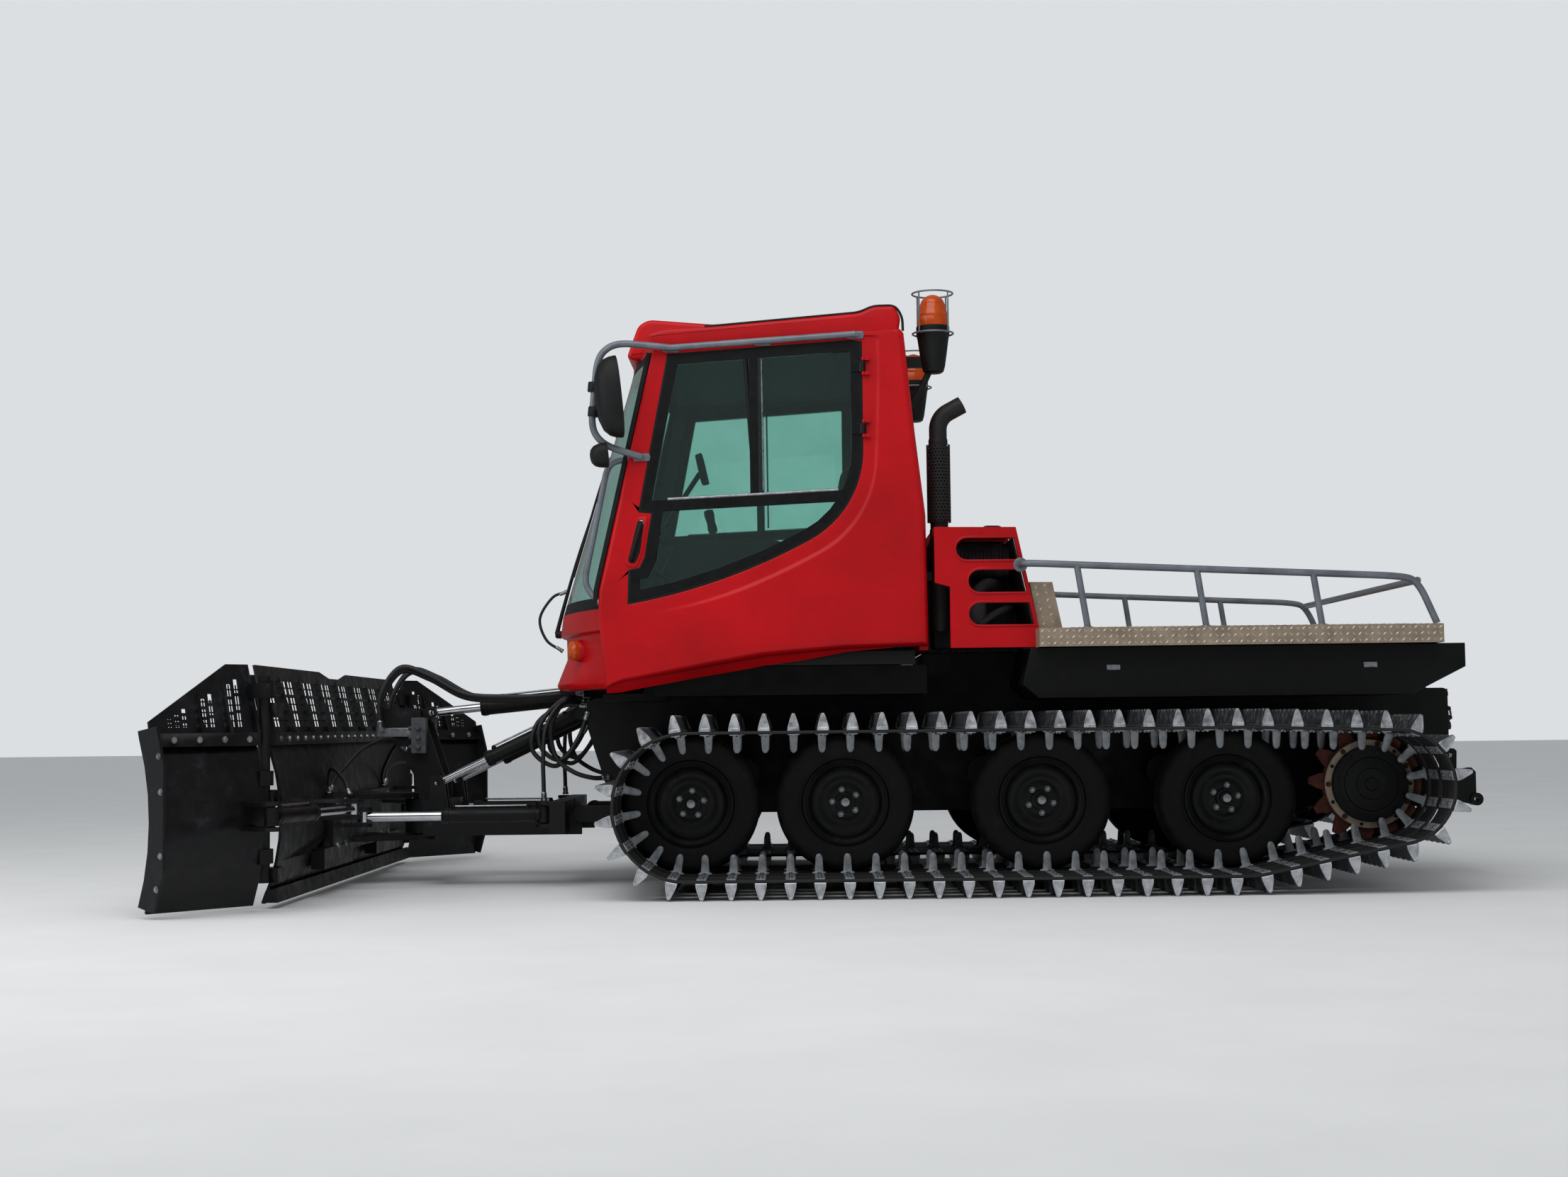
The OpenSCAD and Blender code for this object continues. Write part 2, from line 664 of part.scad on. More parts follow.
// Work lamps in the visor's sloping front
work_lamp_r = 58;
module work_lamp(r, back, front) {
    translate([1043, 400, 2520]) rotate([0, 70, 0]) translate([0, 0, -back])
        cylinder(h = back + front, r = r, $fn = 32);
}
module lamps() {
    color("#d8d8d4") both() work_lamp(work_lamp_r, 30 - seat, 4);
    color("#e07a10") both() side_lamp(side_lamp_r, 12 - seat, 16);
}

module mirror_set() {
    y = cab_y + 60;
    rail = cab_y + 30;
    p = [[850, rail, 2420], [1095, y, 2441], [1173, y + 10, 2379], [1204, y + 10, 2054],
        [1145, y, 1979], [985, cab_y + 20, 1933], [27, rail, 2472]];
    for (i = [0:4]) tube(p[i], p[i + 1], 16);
    tube(p[0], p[6], 15);
    for (i = [0, 5, 6]) bar([p[i][0], cab_y + seat, p[i][2]], [p[i][0], p[i][1] + 2, p[i][2]], 17);
    // Head: an oval shell whose back bulges forward
    translate([1122, y + 55, 2190]) rotate([0, 90 + 12, 0]) {
        linear_extrude(24) polygon([for (i = [0:19]) [182 * cos(18 * i), 95 * sin(18 * i)]]);
        translate([0, 0, 24]) linear_extrude(34) polygon([for (i = [0:19]) [150 * cos(18 * i), 70 * sin(18 * i)]]);
    }
}
module mirrors() { color(steel) both() mirror_set(); }

boss_seat = 1.7;     // places the wiper's boss clear of the slanting nose
module wiper() {
    color(black) {
        bar([1462, -80, 1196], [1286, -60, 1790], 9);
        translate([nose_x(-80, 1190) + boss_seat, -80, 1190]) rotate([0, 90, 0]) cylinder(h = 34, r = 16, $fn = 24);
    }
}

beacon_y = 800;
module beacon_set() {
    translate([-308, beacon_y, 0]) {
        translate([0, 0, 2319]) cylinder(h = 176, r = 62, $fn = 36);
        translate([0, 0, 2495]) cylinder(h = 12, r = 94, $fn = 36);
        translate([0, 0, 2507]) cylinder(h = 150, r = 56, $fn = 36);
        difference() {
            translate([0, 0, 2678]) cylinder(h = 10, r = 94, $fn = 36);
            translate([0, 0, 2670]) cylinder(h = 30, r = 84, $fn = 36);
        }
        for (a = [45:90:315]) rotate([0, 0, a]) translate([89, 0, 2500]) cylinder(h = 182, r = 4, $fn = 16);
    }
    slab(beacon_y - 20, beacon_y + 20, [
        [-308, 2340], [rear_x(2340) - seat, 2340], [rear_x(2400) - seat, 2400], [-308, 2400]
    ]);
}
module beacons() { color("#e07a10") both() beacon_set(); }

// Engine bay behind the cab
cover_outline = [
    [-313, 1607], [-676, 1603], [-773, deck_z + seat], [deck_front_x + seat, deck_z + seat],
    [deck_front_x + seat, 1068], [-380, 1068], [-380, 1340], [-313, 1359]
];
// Columns: front end, rear end at the top, lower side, upper side
slots = [[-409, -669, 1459, 1556], [-462, -701, 1314, 1414], [-462, -732, 1169, 1267]];
cover_t = 40;
lid_y = 600;
lid_pin = [-662, 1584];
lid_pin_r = 6;
exhaust_c = [-350, 750];
module slot_cut(s) {
    h = s[3] - s[2];
    slab(cab_y - cover_t - past, cab_y + past, concat(
        [[s[1] - 0.21 * h, s[2]]],
        arc([s[0] - h / 2, s[2] + h / 2], h / 2, -90, 90, 8),
        [[s[1], s[3]]]
    ));
}
module engine_covers() {
    color(red) both() difference() {
        union() {
            slab(cab_y - cover_t, cab_y, cover_outline);
            slab(lid_y + run, cab_y - cover_t + 1, [[-313, 1607], [-676, 1603], [-682, 1575], [-313, 1575]]);
        }
        for (s = slots) slot_cut(s);
        translate([exhaust_c[0], exhaust_c[1], 1500]) cylinder(h = 200, r = 62, $fn = 36);
    }
    // Pins of the lid's hinge
    color(red) both() pin(lid_pin, lid_y - 25, lid_y + run + 2, lid_pin_r);
}
module hood_lid() {
    color(red) difference() {
        slab(-lid_y, lid_y, [[-313, 1607], [-676, 1603], [-676, 1565], [-313, 1565]]);
        slab(-lid_y + 25, lid_y - 25, [[-338, 1585], [-650, 1580], [-650, 1560], [-338, 1560]]);
        pin(lid_pin, -lid_y - past, lid_y + past, lid_pin_r + fit);
    }
}
engine_x = [-745, -320];
engine_y = 330;
module engine_block() {
    color("#3a3c40") translate([engine_x[0], -engine_y, frame_z + frame_t + seat])
        cube([engine_x[1] - engine_x[0], 2 * engine_y, 1060]);
}

// Back of the cab at a height under its bend
function low_rear_x(z) = -283 + (z - 1079) * 6 / 582;
module exhaust() {
    x = exhaust_c[0];
    y = exhaust_c[1];
    color(black) {
        translate([x, y, 1160]) cylinder(h = 500, r = 40, $fn = 32);
        pin([x - 10, 1202], engine_y + seat, y, 34);
        slab(y - 15, y + 15, [
            [x, 1380], [low_rear_x(1380) - seat, 1380], [low_rear_x(1420) - seat, 1420], [x, 1420]
        ]);
        translate([x, y, 1640]) cylinder(h = 360, r = 54, $fn = 32);
        translate([x, y, 2000]) cylinder(h = 70, r = 38, $fn = 32);
        translate([x - 90, y, 2070]) rotate([90, 0, 0])
            rotate_extrude(angle = 65, $fn = 32) translate([90, 0]) circle(38, $fn = 32);
    }
}

floor_x = [-2390, -900];
floor_y = 1020;
floor_t = 4;
module deck() {
    color("#8f8474") {
        difference() {
            translate([deck_rear_x, -deck_y, deck_z - deck_lip])
                cube([deck_front_x - deck_rear_x, 2 * deck_y, deck_lip]);
            translate([deck_rear_x + 6, -deck_y + 6, deck_z - deck_lip - past])
                cube([deck_front_x - deck_rear_x - 12, 2 * deck_y - 12, deck_lip - 6 + past]);
        }
        // Raised floor between the rails
        translate([floor_x[0], -floor_y, deck_z - 1]) cube([floor_x[1] - floor_x[0], 2 * floor_y, floor_t + 1]);
        both() slab(cab_y - 60, cab_y - 20, [[-735, 1358], [-836, 1357], [-880, 1140], [-776, 1140]]);
    }
}

// Columns: place of each post's top and foot along the machine
posts = [[-930, -973], [-1455, -1492], [-1965, -1999]];
rail_line = [[-694, 1434], [-2341, 1358], [-2422, 1338], [-2502, 1150]];
rail_y = deck_y - 40;
function rail_top(x) = [x, rail_line[0][1]
    + (x - rail_line[0][0]) * (rail_line[1][1] - rail_line[0][1]) / (rail_line[1][0] - rail_line[0][0])];
function at(p, y) = [p[0], y, p[1]];
module deck_rails() {
    color(steel) difference() {
        union() {
            both() {
                for (i = [0:2]) tube(at(rail_line[i], rail_y), at(rail_line[i + 1], rail_y), rail_r);
                for (p = posts) bar(at(rail_top(p[0]), rail_y), [p[1], rail_y, deck_z], rail_r);
                bar(at(rail_line[0], cab_y + seat), at(rail_line[0], rail_y), rail_r);
            }
            bar(at(rail_line[2], -rail_y), at(rail_line[2], rail_y), rail_r);
        }
        // The feet end flat on the deck
        translate([deck_rear_x - past, -deck_y, deck_z - 2 * rail_r])
            cube([deck_front_x - deck_rear_x, 2 * deck_y, 2 * rail_r + seat]);
    }
}

// Hydraulic cylinder between two pins. The barrel starts at a, the rod's eye is at b
module on_line(a, b) {
    d = b - a;
    translate(a) rotate([0, acos(d[2] / norm(d)), atan2(d[1], d[0])]) children();
}
foot_r = 30;        // radius of a barrel's foot eye
eye_r = 28;         // radius of a rod's eye
eye_bore = 14;      // radius of the hole in a rod's eye
module barrel(a, b, reach, r, rod_r, foot_w, spin) {
    on_line(a, b) difference() {
        union() {
            translate([0, 0, 0.7 * foot_r]) cylinder(h = reach - 0.7 * foot_r, r = r, $fn = 36);
            rotate([90, 0, spin]) cylinder(h = foot_w, r = foot_r, center = true, $fn = 36);
        }
        translate([0, 0, foot_r + 8]) cylinder(h = reach, r = rod_r + seat, $fn = 36);
        rotate([90, 0, spin]) cylinder(h = foot_w + 2 * past, r = pin_r + fit, center = true, $fn = 36);
    }
}
module rod(a, b, tail, rod_r, eye_w, spin) {
    l = norm(b - a);
    on_line(a, b) difference() {
        union() {
            translate([0, 0, tail]) cylinder(h = l - tail, r = rod_r, $fn = 36);
            translate([0, 0, l]) rotate([90, 0, spin])
                cylinder(h = eye_w, r = eye_r, center = true, $fn = 36);
        }
        translate([0, 0, l]) rotate([90, 0, spin])
            cylinder(h = eye_w + 2 * past, r = eye_bore, center = true, $fn = 36);
    }
}

// Push frame, its tower and its cylinders
arm_mid = 300;                 // middle of the push frame's arms
lift_y = 288;                  // middle of the lift cylinders
lift_eye = [2000, 481];
top_eye = [2075, 815];
yaw_pin = [2130, 0];
yaw_r = 40;
head_low = 235;                // underside and top of the head that holds the upright pin
head_high = 400;
angle_foot = [1480, 480, 335];
angle_eye = [2300, 560, 335];
lift_a = at(lift_foot, lift_y);
lift_b = at(lift_eye, lift_y);
top_a = at(top_foot, 0);
top_b = at(top_eye, 0);
eye_w = 46;                    // width of the rods' eyes
foot_w = 74;                   // width of the barrels' feet
fork_t = 16;                   // thickness of the fork plates round them

// Two plates over and under an eye. pr is the radius of their pin, or 0 where the rod's eye moves
module flat_fork(c, root_x, w, pr = 0, half = 38) {
    for (z = [c[2] - w / 2 - run - fork_t, c[2] + w / 2 + run]) translate([0, 0, z]) difference() {
        union() {
            translate([c[0], c[1], 0]) cylinder(h = fork_t, r = half, $fn = 32);
            translate([min(c[0], root_x), c[1] - half, 0]) cube([abs(root_x - c[0]), 2 * half, fork_t]);
        }
        if (pr == 0) translate([c[0], c[1], -past]) cylinder(h = fork_t + 2 * past, r = eye_bore, $fn = 32);
    }
    if (pr > 0) translate([c[0], c[1], c[2] - w / 2 - run - fork_t])
        cylinder(h = w + 2 * run + 2 * fork_t, r = pr, $fn = 36);
}
module open_ears(c, y, w, t, outline) {
    for (y0 = [y - w / 2 - t, y + w / 2]) plate(y0, y0 + t) difference() {
        polygon(outline);
        translate(c) circle(eye_bore, $fn = 32);
    }
}

beam_x = [1378, 1450];         // rear cross beam of the push frame
head_x = 1960;                 // rear face of its front cross beam
tower_y = 92;                  // inner face of a tower plate
tower = [
    [1990, head_high - 60], [2105, head_high - 60], [2150, 520], [2316, 800], [2316, 836], [2140, 836],
    [2085, 760], [2000, 500]
];
module push_frame() {
    color(black) {
        both() {
            plate(pivot_y - pivot_w / 2, pivot_y + pivot_w / 2) difference() {
                union() {
                    translate(lift_pivot) circle(42, $fn = 32);
                    translate([lift_pivot[0], head_low]) square([120, 100]);
                }
                translate(lift_pivot) circle(pivot_pin_r + fit, $fn = 32);
            }
            translate([1400, arm_mid - 40, head_low]) cube([620, 80, 100]);
            // Upright plates with the eyes of the lift rods
            open_ears(lift_eye, lift_y, eye_w + 2 * run, fork_t, [
                [lift_eye[0] - 60, head_low + 60], [lift_eye[0] + 34, head_low + 60],
                [lift_eye[0] + 34, lift_eye[1] + 20], [lift_eye[0] + 16, lift_eye[1] + 34],
                [lift_eye[0] - 16, lift_eye[1] + 34], [lift_eye[0] - 34, lift_eye[1] + 10]
            ]);
            flat_fork(angle_foot, 1430, foot_w, pin_r);
            plate(tower_y, tower_y + fork_t) polygon(tower);
        }
        translate([beam_x[0], -540, head_low + 10]) cube([beam_x[1] - beam_x[0], 1080, 150]);
        translate([head_x, -arm_mid - 40, head_low]) cube([105, 2 * arm_mid + 80, head_high - head_low]);
        // Head with the bearing of the upright pin
        difference() {
            union() {
                translate([yaw_pin[0], 0, head_low]) cylinder(h = head_high - head_low, r = 75, $fn = 48);
                translate([2060, -75, head_low]) cube([70, 150, head_high - head_low]);
            }
            translate([yaw_pin[0], 0, 200]) cylinder(h = 300, r = yaw_r + fit, $fn = 48);
        }
        // Cross piece of the tower with the ears of the top cylinder's rod
        slab(-tower_y - past, tower_y + past, [[2118, 776], [2150, 776], [2150, 826], [2118, 826]]);
        open_ears(top_eye, 0, eye_w + 2 * run, fork_t, [
            [top_eye[0] - 30, top_eye[1] - 12], [top_eye[0] - 8, top_eye[1] - 32], [2125, 780], [2125, 822],
            [top_eye[0] + 10, top_eye[1] + 32], [top_eye[0] - 20, top_eye[1] + 26]
        ]);
    }
}

module lift_barrels() { color(black) both() barrel(lift_a, lift_b, 500, 34, 18, foot_w, 0); }
module lift_rods() { color(steel) both() rod(lift_a, lift_b, 245, 18, eye_w, 0); }
module top_barrel() { color(black) barrel(top_a, top_b, 505, 40, 20, foot_w, 0); }
module top_rod() { color(steel) rod(top_a, top_b, 285, 20, eye_w, 0); }
module angle_barrel() { barrel(angle_foot, angle_eye, 470, 33, 22, foot_w, 90); }
module angle_rod() { rod(angle_foot, angle_eye, 245, 22, eye_w, 90); }
module angle_barrel_left() { color(black) angle_barrel(); }
module angle_rod_left() { color(steel) angle_rod(); }
module angle_barrel_right() { color(black) mirror([0, 1, 0]) angle_barrel(); }
module angle_rod_right() { color(steel) mirror([0, 1, 0]) angle_rod(); }

// Blade: a plate rolled to an arc, a rail, and a grille that leans forward over it
face_x = 2530;       // front of the plate at its upper and lower edge
face_bow = 75;       // how far the plate's middle stands back
rail_w = 60;
rail_h = 52;
lean = 12;
face_h = rail_z - blade_z;
face_r = (pow(face_h / 2, 2) + pow(face_bow, 2)) / (2 * face_bow);
face_c = [face_x - face_bow + face_r, (rail_z + blade_z) / 2];
face_a = asin(face_h / 2 / face_r);
face_outline = concat(arc(face_c, face_r + blade_t, 180 - face_a, 180 + face_a, 8),
    arc(face_c, face_r, 180 + face_a, 180 - face_a, 8));
rail_x = face_x - rail_w;
hinge_c = [2510, blade_y];
post_r = 26;
hinge_gap = 44;      // from the hinge's axis to the edge of blade and wing
wing_foot = [2250, 1050, 390];   // rod's eye of a wing cylinder, on the blade
wing_lug = [-215, 120];          // barrel's foot from the hinge, on the wing pointing straight out
grille_t = 10;
rib_d = 62;

// Leaning sheet over the rail, drawn in Y and Z from the rail's top
module leaning(t) {
    translate([face_x - rail_w / 2, 0, rail_z]) rotate([0, lean, 0]) rotate([90, 0, 90])
        linear_extrude(t) children();
}
// Openings of a grille bay between two ribs, with the height of its top on both sides
bay_cols = 3;
bay_rows = 3;
module bay_holes(y0, y1, h0, h1) {
    w = (y1 - y0) / bay_cols;
    web = 12;
    for (i = [0:bay_cols - 1]) for (j = [0:bay_rows - 1]) {
        top = h0 + (h1 - h0) * (i + (h1 < h0 ? 1 : 0)) / bay_cols;
        cell = (top - 46) / bay_rows;
        translate([y0 + i * w + web / 2, 20 + j * cell + web / 2])
            square([w - web, cell - web]);
    }
}
module rib(y, h) {
    dx = h * tan(lean);
    slab(y - 7, y + 7, [
        [rail_x, rail_z], [face_x, rail_z], [face_x + dx, rail_z + h], [face_x + dx - rib_d / 2, rail_z + h]
    ]);
}

grille_h = (grille_z - rail_z) / cos(lean);
ribs = 8;
rib_step = 2 * (blade_y - hinge_gap - 7) / ribs;
dip = 28;            // how far the grille's top dips in the middle
module blade() {
    edge = blade_y - hinge_gap;
    color(black) {
        slab(-edge, edge, face_outline);
        slab(-edge, edge, [
            [rail_x, rail_z - rail_h], [face_x - 8, rail_z - rail_h], [face_x, rail_z + 2], [rail_x, rail_z + 2]
        ]);
        slab(-edge, edge, [[face_x - 70, blade_z], [face_x, blade_z], [face_x - 18, blade_z + 50],
            [face_x - 60, blade_z + 60]]);
        leaning(grille_t) difference() {
            polygon([
                [-edge, 0], [edge, 0], [edge, grille_h], [rib_step * 0.8, grille_h],
                [rib_step * 0.3, grille_h - dip], [-rib_step * 0.3, grille_h - dip],
                [-rib_step * 0.8, grille_h], [-edge, grille_h]
            ]);
            for (i = [0:ribs - 1])
                bay_holes(-edge + 7 + i * rib_step, -edge + 7 + (i + 1) * rib_step, grille_h - dip, grille_h - dip);
        }
        for (i = [0:ribs]) rib(-edge + 7 + i * rib_step, grille_h - dip - 20);
        // Hinge posts of the wings
        both() {
            translate([hinge_c[0], hinge_c[1], 110]) cylinder(h = 850, r = post_r, $fn = 36);
            for (z = [110, 430, 790])
                translate([hinge_c[0] - 60, edge - 60, z]) cube([90, hinge_c[1] - edge + 60, 60]);
            translate([face_x - face_bow - blade_t - 40, 300, 120]) cube([60, 620, 90]);
        }
        // Yoke over and under the head, with the upright pin
        for (z = [head_low - run - 24, head_high + run]) translate([0, 0, z]) {
            translate([yaw_pin[0], 0, 0]) cylinder(h = 24, r = 75, $fn = 48);
            linear_extrude(24) polygon([[yaw_pin[0], -75], [2450, -260], [2450, 260], [yaw_pin[0], 75]]);
        }
        translate([yaw_pin[0], 0, head_low - run - 12])
            cylinder(h = head_high - head_low + 2 * run + 24, r = yaw_r, $fn = 48);
        both() {
            flat_fork(angle_eye, 2450, eye_w);
            flat_fork(wing_foot, 2450, eye_w);
        }
        translate([2410, -700, 180]) cube([50, 1400, 260]);
    }
}

module wing() {
    y0 = hinge_c[1] + hinge_gap;
    y1 = hinge_c[1] + wing_l;
    flat = 110;
    color(black) {
        slab(y0, y1, face_outline);
        slab(y0, y1, [
            [rail_x, rail_z - rail_h], [face_x - 8, rail_z - rail_h], [face_x, rail_z + 2], [rail_x, rail_z + 2]
        ]);
        // End plate
        slab(y1 - blade_t, y1, concat(
            arc(face_c, face_r - 50, 180 + face_a, 180 - face_a, 6),
            [[face_x + 55, rail_z + 12], [rail_x - 10, rail_z + 30], [face_x - face_bow - 45, rail_z - 120],
                [face_x - face_bow - 45, blade_z + 160], [face_x - 60, blade_z]]
        ));
        leaning(grille_t) difference() {
            polygon([[y0, 0], [y1, 0], [y1, 50], [y0 + flat, grille_h], [y0, grille_h]]);
            for (i = [0:2]) let (w = (y1 - y0 - flat) / 3)
                bay_holes(y0 + flat / 2 + i * w, y0 + flat / 2 + (i + 0.8) * w,
                    grille_h - 10 - i * 62, grille_h - 10 - (i + 1) * 62);
        }
        for (i = [0:2]) let (w = (y1 - y0 - flat) / 3) rib(y0 + 7 + i * w, grille_h - 20 - i * 55);
        // Knuckles on the post, and the lug of the cylinder
        for (z = [190, 510, 870]) difference() {
            union() {
                translate([hinge_c[0], hinge_c[1], z]) cylinder(h = 60, r = post_r + 14, $fn = 36);
                translate([hinge_c[0] - 62, hinge_c[1] + 12, z]) cube([82, hinge_gap + 8, 60]);
            }
            translate([hinge_c[0], hinge_c[1], z - past])
                cylinder(h = 60 + 2 * past, r = post_r + fit, $fn = 36);
        }
        flat_fork([hinge_c[0] + wing_lug[0], hinge_c[1] + wing_lug[1], wing_foot[2]],
            face_x - face_bow + 2, foot_w, pin_r);
    }
}
module swung(a) {
    translate([hinge_c[0], hinge_c[1], 0]) rotate([0, 0, -a]) translate([-hinge_c[0], -hinge_c[1], 0])
        children();
}
function lug_at(a) = [
    hinge_c[0] + rot(wing_lug, -a)[0], hinge_c[1] + rot(wing_lug, -a)[1], wing_foot[2]
];
module wing_left() { swung(wing_swing) wing(); }
module wing_right() { mirror([0, 1, 0]) swung(-wing_swing) wing(); }
module wing_barrel(a) { color(black) barrel(lug_at(a), wing_foot, 400, 32, 18, foot_w, 90); }
module wing_rod(a, tail) { color(steel) rod(lug_at(a), wing_foot, tail, 18, eye_w, 90); }
module wing_barrel_left() { wing_barrel(wing_swing); }
module wing_rod_left() { wing_rod(wing_swing, 340); }
module wing_barrel_right() { mirror([0, 1, 0]) wing_barrel(-wing_swing); }
module wing_rod_right() { mirror([0, 1, 0]) wing_rod(-wing_swing, 50); }

// Rear lift that carries an implement
rear_eye = [-2845, 555];
hitch = [-2880, 352];
hitch_r = 13;
hitch_y = [257, 327];
rear_a = at(rear_foot, 0);
rear_b = at(rear_eye, 0);
module rear_lift() {
    color(black) {
        both() {
            difference() {
                union() {
                    plate(rear_pivot_y - rear_pivot_w / 2, rear_pivot_y + rear_pivot_w / 2) {
                        translate(rear_pivot) circle(38, $fn = 32);
                        polygon([
                            [rear_pivot[0], rear_pivot[1] - 38], rear_pivot + [0, 38], [-2860, 500],
                            [-2880, 480], [-2880, 340], [-2850, 330]
                        ]);
                    }
                    // Eye for an implement's lower arm
                    pin(hitch, hitch_y[0], hitch_y[1], 30);
                }
                pin(rear_pivot, 0, cab_y, pivot_pin_r + fit);
                pin(hitch, 0, cab_y, hitch_r);
            }
        }
        translate([-2870, -rear_pivot_y, 400]) cube([60, 2 * rear_pivot_y, 80]);
        open_ears(rear_eye, 0, eye_w + 2 * run, fork_t, [
            [-2870, 440], [-2815, 440], [rear_eye[0] + 32, rear_eye[1] + 20], [rear_eye[0] + 16, rear_eye[1] + 32],
            [rear_eye[0] - 16, rear_eye[1] + 32], [rear_eye[0] - 30, rear_eye[1] + 20]
        ]);
    }
}
module rear_barrel() { color(black) barrel(rear_a, rear_b, 175, 34, 18, foot_w, 0); }
module rear_rod() { color(steel) rod(rear_a, rear_b, 120, 18, eye_w, 0); }

chassis_frame();
side_boxes();
wheel_arms();
tyres();
rims();
sprockets();
final_drives();
track_left();
track_right();
cab_floor();
cab_side_left();
cab_side_right();
cab_roof();
cab_nose();
cab_rear_wall();
windscreen();
rear_window();
dashboard();
steering();
seats();
lamps();
mirrors();
wiper();
beacons();
door_left();
door_right();
door_glass_left();
door_glass_right();
engine_block();
engine_covers();
hood_lid();
exhaust();
deck();
deck_rails();
push_frame();
lift_barrels();
lift_rods();
top_barrel();
top_rod();
angle_barrel_left();
angle_rod_left();
angle_barrel_right();
angle_rod_right();
rear_lift();
rear_barrel();
rear_rod();
blade();
wing_left();
wing_right();
wing_barrel_left();
wing_rod_left();
wing_barrel_right();
wing_rod_right();
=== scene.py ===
# %% [markdown]
# # A tracked snow groomer, dressed in Blender
# The solids of the machine come from its construction file. This file gives them their finish and adds
# what a solid model leaves out: belts and bars, tyre tread, gaskets, hoses, plate patterns, bolts.
# X points to the machine's front, Y to its left side, Z up. All lengths are in metres.

# %% Load the solids
import json
import math

import bmesh
import bpy
import numpy as np
from mathutils import Matrix, Vector

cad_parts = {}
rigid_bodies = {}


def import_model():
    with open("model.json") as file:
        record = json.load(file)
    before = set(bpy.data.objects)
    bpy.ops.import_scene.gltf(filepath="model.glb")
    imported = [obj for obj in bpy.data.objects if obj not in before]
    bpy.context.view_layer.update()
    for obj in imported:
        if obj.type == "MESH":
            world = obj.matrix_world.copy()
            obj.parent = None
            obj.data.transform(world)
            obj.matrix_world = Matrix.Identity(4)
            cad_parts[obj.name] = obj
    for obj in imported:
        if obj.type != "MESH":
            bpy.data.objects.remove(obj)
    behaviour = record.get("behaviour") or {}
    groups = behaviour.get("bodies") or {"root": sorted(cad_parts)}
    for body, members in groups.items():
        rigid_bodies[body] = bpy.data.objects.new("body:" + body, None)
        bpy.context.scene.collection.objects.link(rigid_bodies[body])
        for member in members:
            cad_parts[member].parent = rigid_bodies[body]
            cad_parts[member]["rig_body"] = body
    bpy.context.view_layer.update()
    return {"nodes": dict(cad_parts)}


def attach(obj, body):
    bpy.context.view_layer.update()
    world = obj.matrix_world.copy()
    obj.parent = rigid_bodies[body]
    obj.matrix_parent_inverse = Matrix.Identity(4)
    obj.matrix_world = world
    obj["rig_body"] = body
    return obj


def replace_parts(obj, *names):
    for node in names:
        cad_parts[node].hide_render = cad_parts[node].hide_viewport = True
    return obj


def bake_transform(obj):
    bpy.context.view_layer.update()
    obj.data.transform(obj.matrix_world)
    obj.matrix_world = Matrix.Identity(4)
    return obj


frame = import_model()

nodes = frame["nodes"]
mm = 0.001
pi = math.pi

# %% [markdown]
# ## Camera
# The photograph looks straight at the left side from about ten metres, a little upwards and with a small
# roll. The place where lines along Y meet in the picture fixes the pitch and yaw, and the slope of level
# lines fixes the roll, so the camera's axes are worked out from those two.

# %% The camera
shot_w, shot_h = 2212, 1661
focal_px = 3104.0
meet_px = np.array([1120.0, 1024.0])  # where lines along Y meet
slope = 0.0113  # rise of level lines towards the right
camera_at = (0.320, 10.7, 0.732)
sensor_mm = 36.0


def camera_axes():
    """The unit vectors of world -X, Z and Y in camera coordinates, from the meeting point and the slope.

    Y seen from the camera is the ray through the meeting point, -X is the ray square to it whose picture
    rises by the slope, and Z is their cross product.
    """
    right, up = meet_px[0] - shot_w / 2, shot_h / 2 - meet_px[1]
    y_axis = np.array([-right, -up, focal_px])
    y_axis /= np.linalg.norm(y_axis)
    minus_x = np.array([math.cos(slope), math.sin(slope), 0.0])
    minus_x -= y_axis * (minus_x @ y_axis)
    minus_x /= np.linalg.norm(minus_x)
    return -minus_x, y_axis, np.cross(y_axis, minus_x)


world_axes = np.array(camera_axes())
camera = bpy.data.objects.new("camera", bpy.data.cameras.new("camera"))
camera.data.sensor_width = sensor_mm
camera.data.lens = sensor_mm * focal_px / shot_w
camera.data.clip_end = 200.0
placing = np.eye(4)
placing[:3, :3] = world_axes
placing[:3, 3] = camera_at
camera.matrix_world = Matrix(placing.tolist())
bpy.context.scene.collection.objects.link(camera)
bpy.context.scene.camera = camera
bpy.context.scene.view_settings.view_transform = "Standard"
print("lens in mm:", round(camera.data.lens, 2))

# %% [markdown]
# ## Colours and nodes
# Colours are written as they look on a screen. The shader wants linear light, so one function turns them.
# A second small function adds a node with its settings and its links.


# %% Colour and node helpers
def linear(hex_colour):
    """Screen colour to linear light: v/12.92 below 0.04045, else ((v+0.055)/1.055)^2.4, for each channel."""
    v = np.array([int(hex_colour[i : i + 2], 16) for i in (1, 3, 5)]) / 255.0
    v = np.where(v <= 0.04045, v / 12.92, ((v + 0.055) / 1.055) ** 2.4)
    return (*v.tolist(), 1.0)


def add(tree, kind, links=None, **settings):
    """Adds one node. links gives each input either a value or another node's output socket."""
    node = tree.nodes.new("ShaderNode" + kind)
    for name, value in settings.items():
        setattr(node, name, value)
    for name, value in (links or {}).items():
        if isinstance(value, bpy.types.NodeSocket):
            tree.links.new(value, node.inputs[name])
        else:
            node.inputs[name].default_value = value
    return node


def new_material(name, **shader):
    """An empty material with one Principled shader, whose plain sockets are set by name."""
    mat = bpy.data.materials.new(name)
    mat.use_nodes = True
    tree = mat.node_tree
    bsdf = tree.nodes["Principled BSDF"]
    for key, value in shader.items():
        bsdf.inputs[key.replace("_", " ")].default_value = value
    return mat, tree, bsdf


